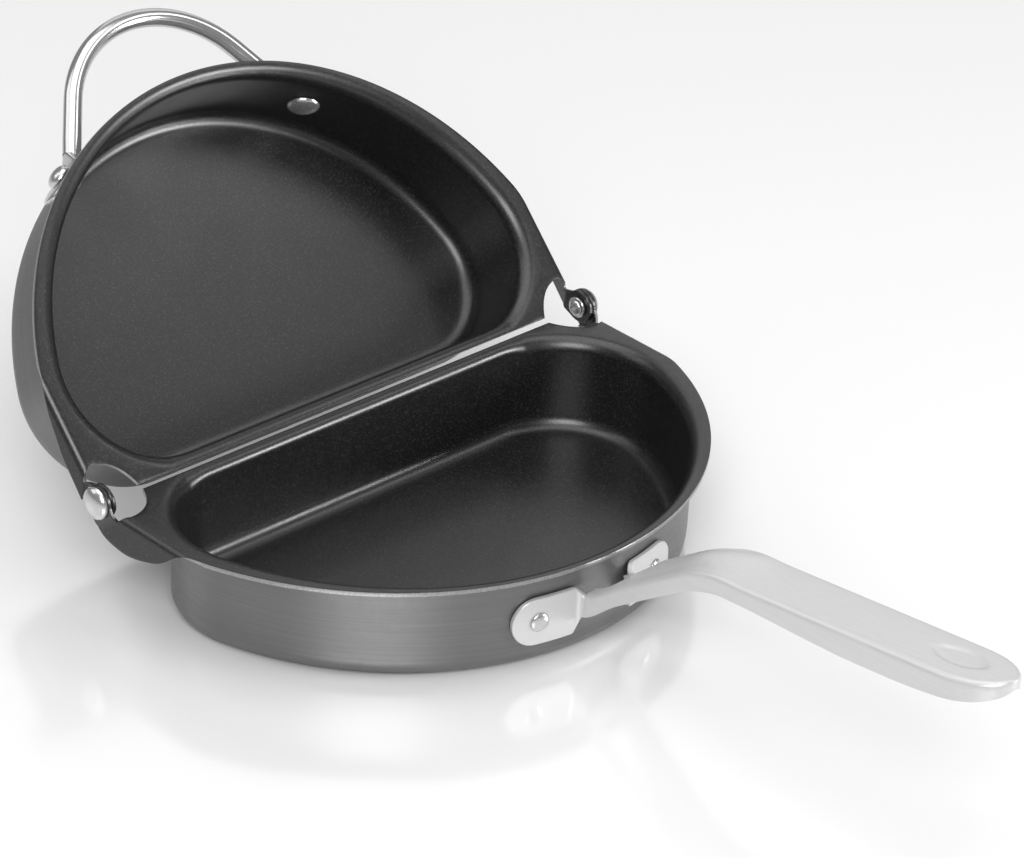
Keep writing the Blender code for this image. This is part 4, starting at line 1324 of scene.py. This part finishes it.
def ear_ribbon():
    """(middle, way out, half height, level) along one ear, its bend and the tongue in the leg."""
    middle, bend, bend_bearing, root = bend_reach()
    rounding_angle = HANDLE_EAR_HALF_HEIGHT / middle
    flat_end = HANDLE_EAR_ANGLE - rounding_angle
    rows = []
    for step in range(1, EAR_END_STEPS + 1):
        turn = math.pi / 2 * step / EAR_END_STEPS
        bearing = HANDLE_EAR_ANGLE - rounding_angle * (1 - math.cos(turn))
        half_height = HANDLE_EAR_HALF_HEIGHT * math.sin(turn)
        rows.append((wall_spot(bearing, middle, 0), wall_out(bearing), half_height, HANDLE_EAR_LEVEL))
    for step in range(1, EAR_ALONG_STEPS + 1):
        bearing = flat_end + (bend_bearing - flat_end) * step / EAR_ALONG_STEPS
        spot = wall_spot(bearing, middle, 0)
        rows.append((spot, wall_out(bearing), HANDLE_EAR_HALF_HEIGHT, HANDLE_EAR_LEVEL))
    leg_top = handle_edge(root) - HANDLE_EDGE_RADIUS / 2
    leg_bottom = handle_edge(root) - handle_side(root) + TUCK
    leg_half = (leg_top - leg_bottom) / 2
    bend_centre = wall_spot(bend_bearing, middle + bend, 0)
    for step in range(1, EAR_BEND_STEPS + 1):
        share = step / EAR_BEND_STEPS
        out = wall_out(bend_bearing + (math.pi / 2 - bend_bearing) * share)
        blend = ease(share)
        half_height = HANDLE_EAR_HALF_HEIGHT + (leg_half - HANDLE_EAR_HALF_HEIGHT) * blend
        level = HANDLE_EAR_LEVEL + (leg_top - leg_half - HANDLE_EAR_LEVEL) * blend
        rows.append((bend_centre - out * bend, out, half_height, level))
    run = root + LEG_TONGUE_LENGTH
    end_top = handle_edge(run) - HANDLE_EDGE_RADIUS / 2
    end_bottom = handle_edge(run) - handle_side(run) + TUCK
    tongue_end = bend_centre - Vector((bend, LEG_TONGUE_LENGTH, 0))
    rows.append((tongue_end, Vector((1, 0, 0)), (end_top - end_bottom) / 2, (end_top + end_bottom) / 2))
    return rows


print("sections in an ear's ribbon:", len(ear_ribbon()))

# %% [markdown]
# The ribbon's last two sections lie inside the leg. If their sides lay exactly in the sides of the
# leg, the union wouldn't know which one to keep, so they are a little thinner. Merging points
# instead would need points in the same places on both.

# %% Weld the handle's ears on and drill them
ribbon = ear_ribbon()
for side in (-1, 1):
    rings = []
    for index, (middle, out, half_height, level) in enumerate(ribbon):
        tucked = TUCK if index >= len(ribbon) - 2 else 0
        spot = Vector((side * middle.x, middle.y, base_z + level))
        facing = Vector((side * out.x, out.y, 0))
        rings.append(plate_ring(spot, Vector((0, 0, 1)), facing, half_height, HANDLE_SHEET / 2 - tucked))
    ear_mesh = bmesh.new()
    loft(ear_mesh, rings)
    combine(channel, new_piece("handle_ear", ear_mesh, lower_place, (brushed,)), "UNION")
    drill(channel, *rivet_line(side * HANDLE_RIVET_BEARING, handle_level), RIVET_SHANK_RADIUS, lower_place)
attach(channel, "lower_half")
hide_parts("long_handle")
print("faces in the long handle:", len(channel.data.polygons))

# %% [markdown]
# ## Loop handle
#
# The loop is one length of round rod. Its bend is a part of a circle, its legs lean in straight
# lines, and its ends are pressed flat to lie along the wall under their rivets. A curve with a
# round bevel would make the rod, but not its flat ends. Here every section is an oval with its own
# thickness and width, so one loft makes round rod and flat ends alike.

# %% Bend the loop
ROD_RADIUS = 0.0035
LOOP_REACH = 0.0341
LOOP_LEG_ANGLE = math.radians(59.4)
SPADE_TOUCH_ANGLE = math.radians(26)


def loop_bend():
    """(centre, radius) of the bend, and the point where a leaning leg touches the wall."""
    touch = wall_spot(SPADE_TOUCH_ANGLE, BODY_RADIUS + SHANK_CLEARANCE + ROD_RADIUS, 0)
    front_y = body_centre.y - BODY_RADIUS - LOOP_REACH
    radius = touch.x * math.tan(LOOP_LEG_ANGLE) - touch.y + front_y
    radius /= 1 / math.cos(LOOP_LEG_ANGLE) - 1
    return Vector((0, front_y + radius, 0)), radius, touch


print("loop bend radius", round(1000 * loop_bend()[1], 1), "mm")

# %% [markdown]
# Half of the rod is followed from its middle: round the bend, down the leg, and along the wall to
# the rounded end. The legs and the ends could be pieces of their own, but the real rod has no
# joint. So each stretch goes on from where the one before ended.

# %% Follow half of the rod
SPADE_HALF_THICKNESS = 0.0014
SPADE_HALF_WIDTH = 0.0068
SPADE_FLAT_ANGLE = math.radians(28.2)
SPADE_END_ANGLE = math.radians(37)
LOOP_BEND_STEPS = 44
LOOP_LEG_STEPS = 14
SPADE_STEPS = 14
LEG_CURVE_FROM = 0.6
LEG_CURVE_SHARE = 0.5


def loop_sections():
    """(middle, way out, half thickness, half width) along half of the rod, from its middle."""
    centre, radius, touch = loop_bend()
    rows = []
    for step in range(LOOP_BEND_STEPS + 1):
        out = wall_out(LOOP_LEG_ANGLE * step / LOOP_BEND_STEPS)
        rows.append((centre + out * radius, out, ROD_RADIUS, ROD_RADIUS))
    leg_start = centre + out * radius
    for step in range(1, LOOP_LEG_STEPS + 1):
        share = step / LOOP_LEG_STEPS
        lean = ease((share - LEG_CURVE_FROM) / (1 - LEG_CURVE_FROM)) * LEG_CURVE_SHARE
        facing = out.lerp(wall_out(SPADE_TOUCH_ANGLE), lean).normalized()
        rows.append((leg_start.lerp(touch, share), facing, ROD_RADIUS, ROD_RADIUS))
    flat_radius = BODY_RADIUS + SHANK_CLEARANCE + SPADE_HALF_THICKNESS
    round_radius = BODY_RADIUS + SHANK_CLEARANCE + ROD_RADIUS
    for step in range(1, SPADE_STEPS + 1):
        share = step / SPADE_STEPS
        blend = ease(share)
        bearing = SPADE_TOUCH_ANGLE + (SPADE_FLAT_ANGLE - SPADE_TOUCH_ANGLE) * share
        spot = wall_spot(bearing, round_radius + (flat_radius - round_radius) * blend, 0)
        thin = ROD_RADIUS + (SPADE_HALF_THICKNESS - ROD_RADIUS) * blend
        wide = ROD_RADIUS + (SPADE_HALF_WIDTH - ROD_RADIUS) * blend
        rows.append((spot, wall_out(bearing), thin, wide))
    rounding_angle = SPADE_HALF_WIDTH / flat_radius
    for step in range(SPADE_STEPS):
        turn = math.pi / 2 * step / SPADE_STEPS
        bearing = SPADE_END_ANGLE - rounding_angle * (1 - math.sin(turn))
        wide = SPADE_HALF_WIDTH * math.cos(turn)
        rows.append((wall_spot(bearing, flat_radius, 0), wall_out(bearing), SPADE_HALF_THICKNESS, wide))
    return rows


print("sections in half of the loop:", len(loop_sections()))

# %% [markdown]
# The other half is the mirror image of this one. Where the rod is pressed flat, a plain oval would
# have sharp sides, so the sections are pushed out towards a squarer shape there. Rounding a flat
# bar with a Bevel would give that too, but not the soft change from round to flat.

# %% Loft the loop
ROD_SIDES = 32
SPADE_SQUARENESS = 0.5
half = loop_sections()
mirrored = []
for middle, out, thin, wide in reversed(half[1:]):
    mirrored.append((Vector((-middle.x, middle.y, 0)), Vector((-out.x, out.y, 0)), thin, wide))
loop_rings = []
for middle, out, thin, wide in mirrored + half:
    flatness = (ROD_RADIUS - thin) / (ROD_RADIUS - SPADE_HALF_THICKNESS)
    ring = []
    for step in range(ROD_SIDES):
        angle = math.tau * (step + 1 / 2) / ROD_SIDES
        push = math.copysign(abs(math.cos(angle)) ** (1 - flatness * SPADE_SQUARENESS), math.cos(angle))
        spot = middle + out * thin * push
        ring.append(Vector((spot.x, spot.y, loop_level + wide * math.sin(angle))))
    loop_rings.append(ring)
loop_mesh = bmesh.new()
loft(loop_mesh, loop_rings)
loop = new_piece("loop_handle_rod", loop_mesh, upper_place, (polished,))
for side in (-1, 1):
    drill(loop, *rivet_line(side * LOOP_RIVET_BEARING, loop_level), RIVET_SHANK_RADIUS, upper_place)
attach(loop, "upper_half")
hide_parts("loop_handle")
print("faces in the loop:", len(loop.data.polygons))

# %% [markdown]
# ## Rivets and washers
#
# A rivet is turned: a shank with a head at each end. Its heads are smooth low domes. Only the tail
# of a hinge pin was rolled over with a pointed tool, which leaves a round hollow in its middle. A
# flattened ball would do for a dome, but a profile turned round an axis gives both heads and the
# shank as one solid.

# %% Turn a rivet
DOME_STEPS = 12
HOLLOW_SHARE = 0.5
HOLLOW_SLOPE_SHARE = 0.5
HOLLOW_DEPTH_SHARE = 0.45


def dome(radius, height, seat, sign, hollow):
    """Profile of a domed head from its rim to its middle, with a hollow if it was rolled over."""
    points = []
    for step in range(DOME_STEPS):
        turn = math.pi / 2 * step / DOME_STEPS
        rise = height * math.sin(turn)
        inside = 1 - math.cos(turn) / HOLLOW_SHARE
        if hollow and inside > 0:
            rise -= height * HOLLOW_DEPTH_SHARE * ease(inside / HOLLOW_SLOPE_SHARE)
        points.append((radius * math.cos(turn), seat + sign * rise))
    return points


def rivet(name, node, origin, direction, shank, inner, outer, place, body):
    """A rivet with two heads. inner and outer give (seat, radius, height, hollow)."""
    low = dome(inner[1], inner[2], -inner[0], -1, inner[3])
    high = dome(outer[1], outer[2], outer[0], 1, outer[3])
    profile = list(reversed(low)) + [(shank, -inner[0]), (shank, outer[0])] + high
    piece = new_piece(name, turned_mesh(profile, origin, direction), place, (riveted,))
    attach(piece, body)
    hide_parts(node)


print("rivet helpers ready")

# %% [markdown]
# A rivet's place along its axis follows from what it holds: two ears and a washer at the hinge, the
# wall and a handle's end in front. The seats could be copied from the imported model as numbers, but
# worked out from the sheets they stay right when a sheet gets thicker.

# %% Seats and heads of the rivets
HINGE_HEAD_RADIUS = 0.0062
HINGE_HEAD_HEIGHT = 0.0031
HINGE_TAIL_RADIUS = 0.0031
HINGE_TAIL_HEIGHT = 0.0014
WASHER_THICKNESS = 0.001
INNER_HEAD_RADIUS = 0.0064
INNER_HEAD_HEIGHT = 0.0026
HANDLE_HEAD_RADIUS = 0.0036
HANDLE_HEAD_HEIGHT = 0.0012
LOOP_HEAD_RADIUS = 0.005
LOOP_HEAD_HEIGHT = 0.003

tail_seat = SHEET * 2 + SHANK_CLEARANCE * 3 + WASHER_THICKNESS
inner_seat = SHEET + SHANK_CLEARANCE + INNER_HEAD_RADIUS ** 2 / (2 * BODY_RADIUS)
handle_seat = HANDLE_SHEET + SHANK_CLEARANCE * 2
loop_seat = SPADE_HALF_THICKNESS * 2 + SHANK_CLEARANCE * 2

# (seat, radius, height, hollow)
PIN_TAIL = (tail_seat, HINGE_TAIL_RADIUS, HINGE_TAIL_HEIGHT, True)
PIN_HEAD = (SHANK_CLEARANCE, HINGE_HEAD_RADIUS, HINGE_HEAD_HEIGHT, False)
INNER_HEAD = (inner_seat, INNER_HEAD_RADIUS, INNER_HEAD_HEIGHT, False)
HANDLE_HEAD = (handle_seat, HANDLE_HEAD_RADIUS, HANDLE_HEAD_HEIGHT, False)
LOOP_HEAD = (loop_seat, LOOP_HEAD_RADIUS, LOOP_HEAD_HEIGHT, False)
print("rivet heads from", 2000 * HINGE_TAIL_RADIUS, "to", 2000 * INNER_HEAD_RADIUS, "mm wide")

# %% [markdown]
# Three rivets go in on each side: the hinge pin, one for the long handle and one for the loop. The
# left ones could be mirrored copies. Setting each from its own place keeps them separate pieces.

# %% Set the rivets
for side, word in ((-1, "left"), (1, "right")):
    rivet(f"hinge_pin_{word}", f"hinge_rivet_{word}", (side * lower_ear_x, 0, 0), (side, 0, 0),
          HINGE_SHANK_RADIUS, PIN_TAIL, PIN_HEAD, lower_place, "lower_half")
    rivet(f"handle_rivet_{word}", f"long_handle_rivet_{word}",
          *rivet_line(side * HANDLE_RIVET_BEARING, handle_level),
          RIVET_SHANK_RADIUS, INNER_HEAD, HANDLE_HEAD, lower_place, "lower_half")
    rivet(f"loop_rivet_{word}", f"loop_handle_rivet_{word}",
          *rivet_line(side * LOOP_RIVET_BEARING, loop_level),
          RIVET_SHANK_RADIUS, INNER_HEAD, LOOP_HEAD, upper_place, "upper_half")
print("six rivets set")

# %% [markdown]
# A washer lies between the inner ear and the tail of each hinge pin, and lets the ears turn without
# wear. A turned ring would need a profile that closes on itself. A turned disc with a drilled hole
# uses what is already here.

# %% Slip the washers on
WASHER_RADIUS = 0.0041
washer_far = -SHEET * 2 - SHANK_CLEARANCE * 2
washer_near = washer_far - WASHER_THICKNESS
washer_profile = (
    (WASHER_RADIUS - EDGE_EASE, washer_near),
    (WASHER_RADIUS, washer_near + EDGE_EASE),
    (WASHER_RADIUS, washer_far - EDGE_EASE),
    (WASHER_RADIUS - EDGE_EASE, washer_far),
)
for side, word in ((-1, "left"), (1, "right")):
    disc = turned_mesh(washer_profile, (side * lower_ear_x, 0, 0), (side, 0, 0))
    washer = new_piece(f"washer_{word}", disc, lower_place, (riveted,))
    drill(washer, (side * upper_ear_x, 0, 0), (1, 0, 0), HINGE_SHANK_RADIUS, lower_place)
    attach(washer, "lower_half")
    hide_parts(f"hinge_washer_{word}")
print("two washers on")
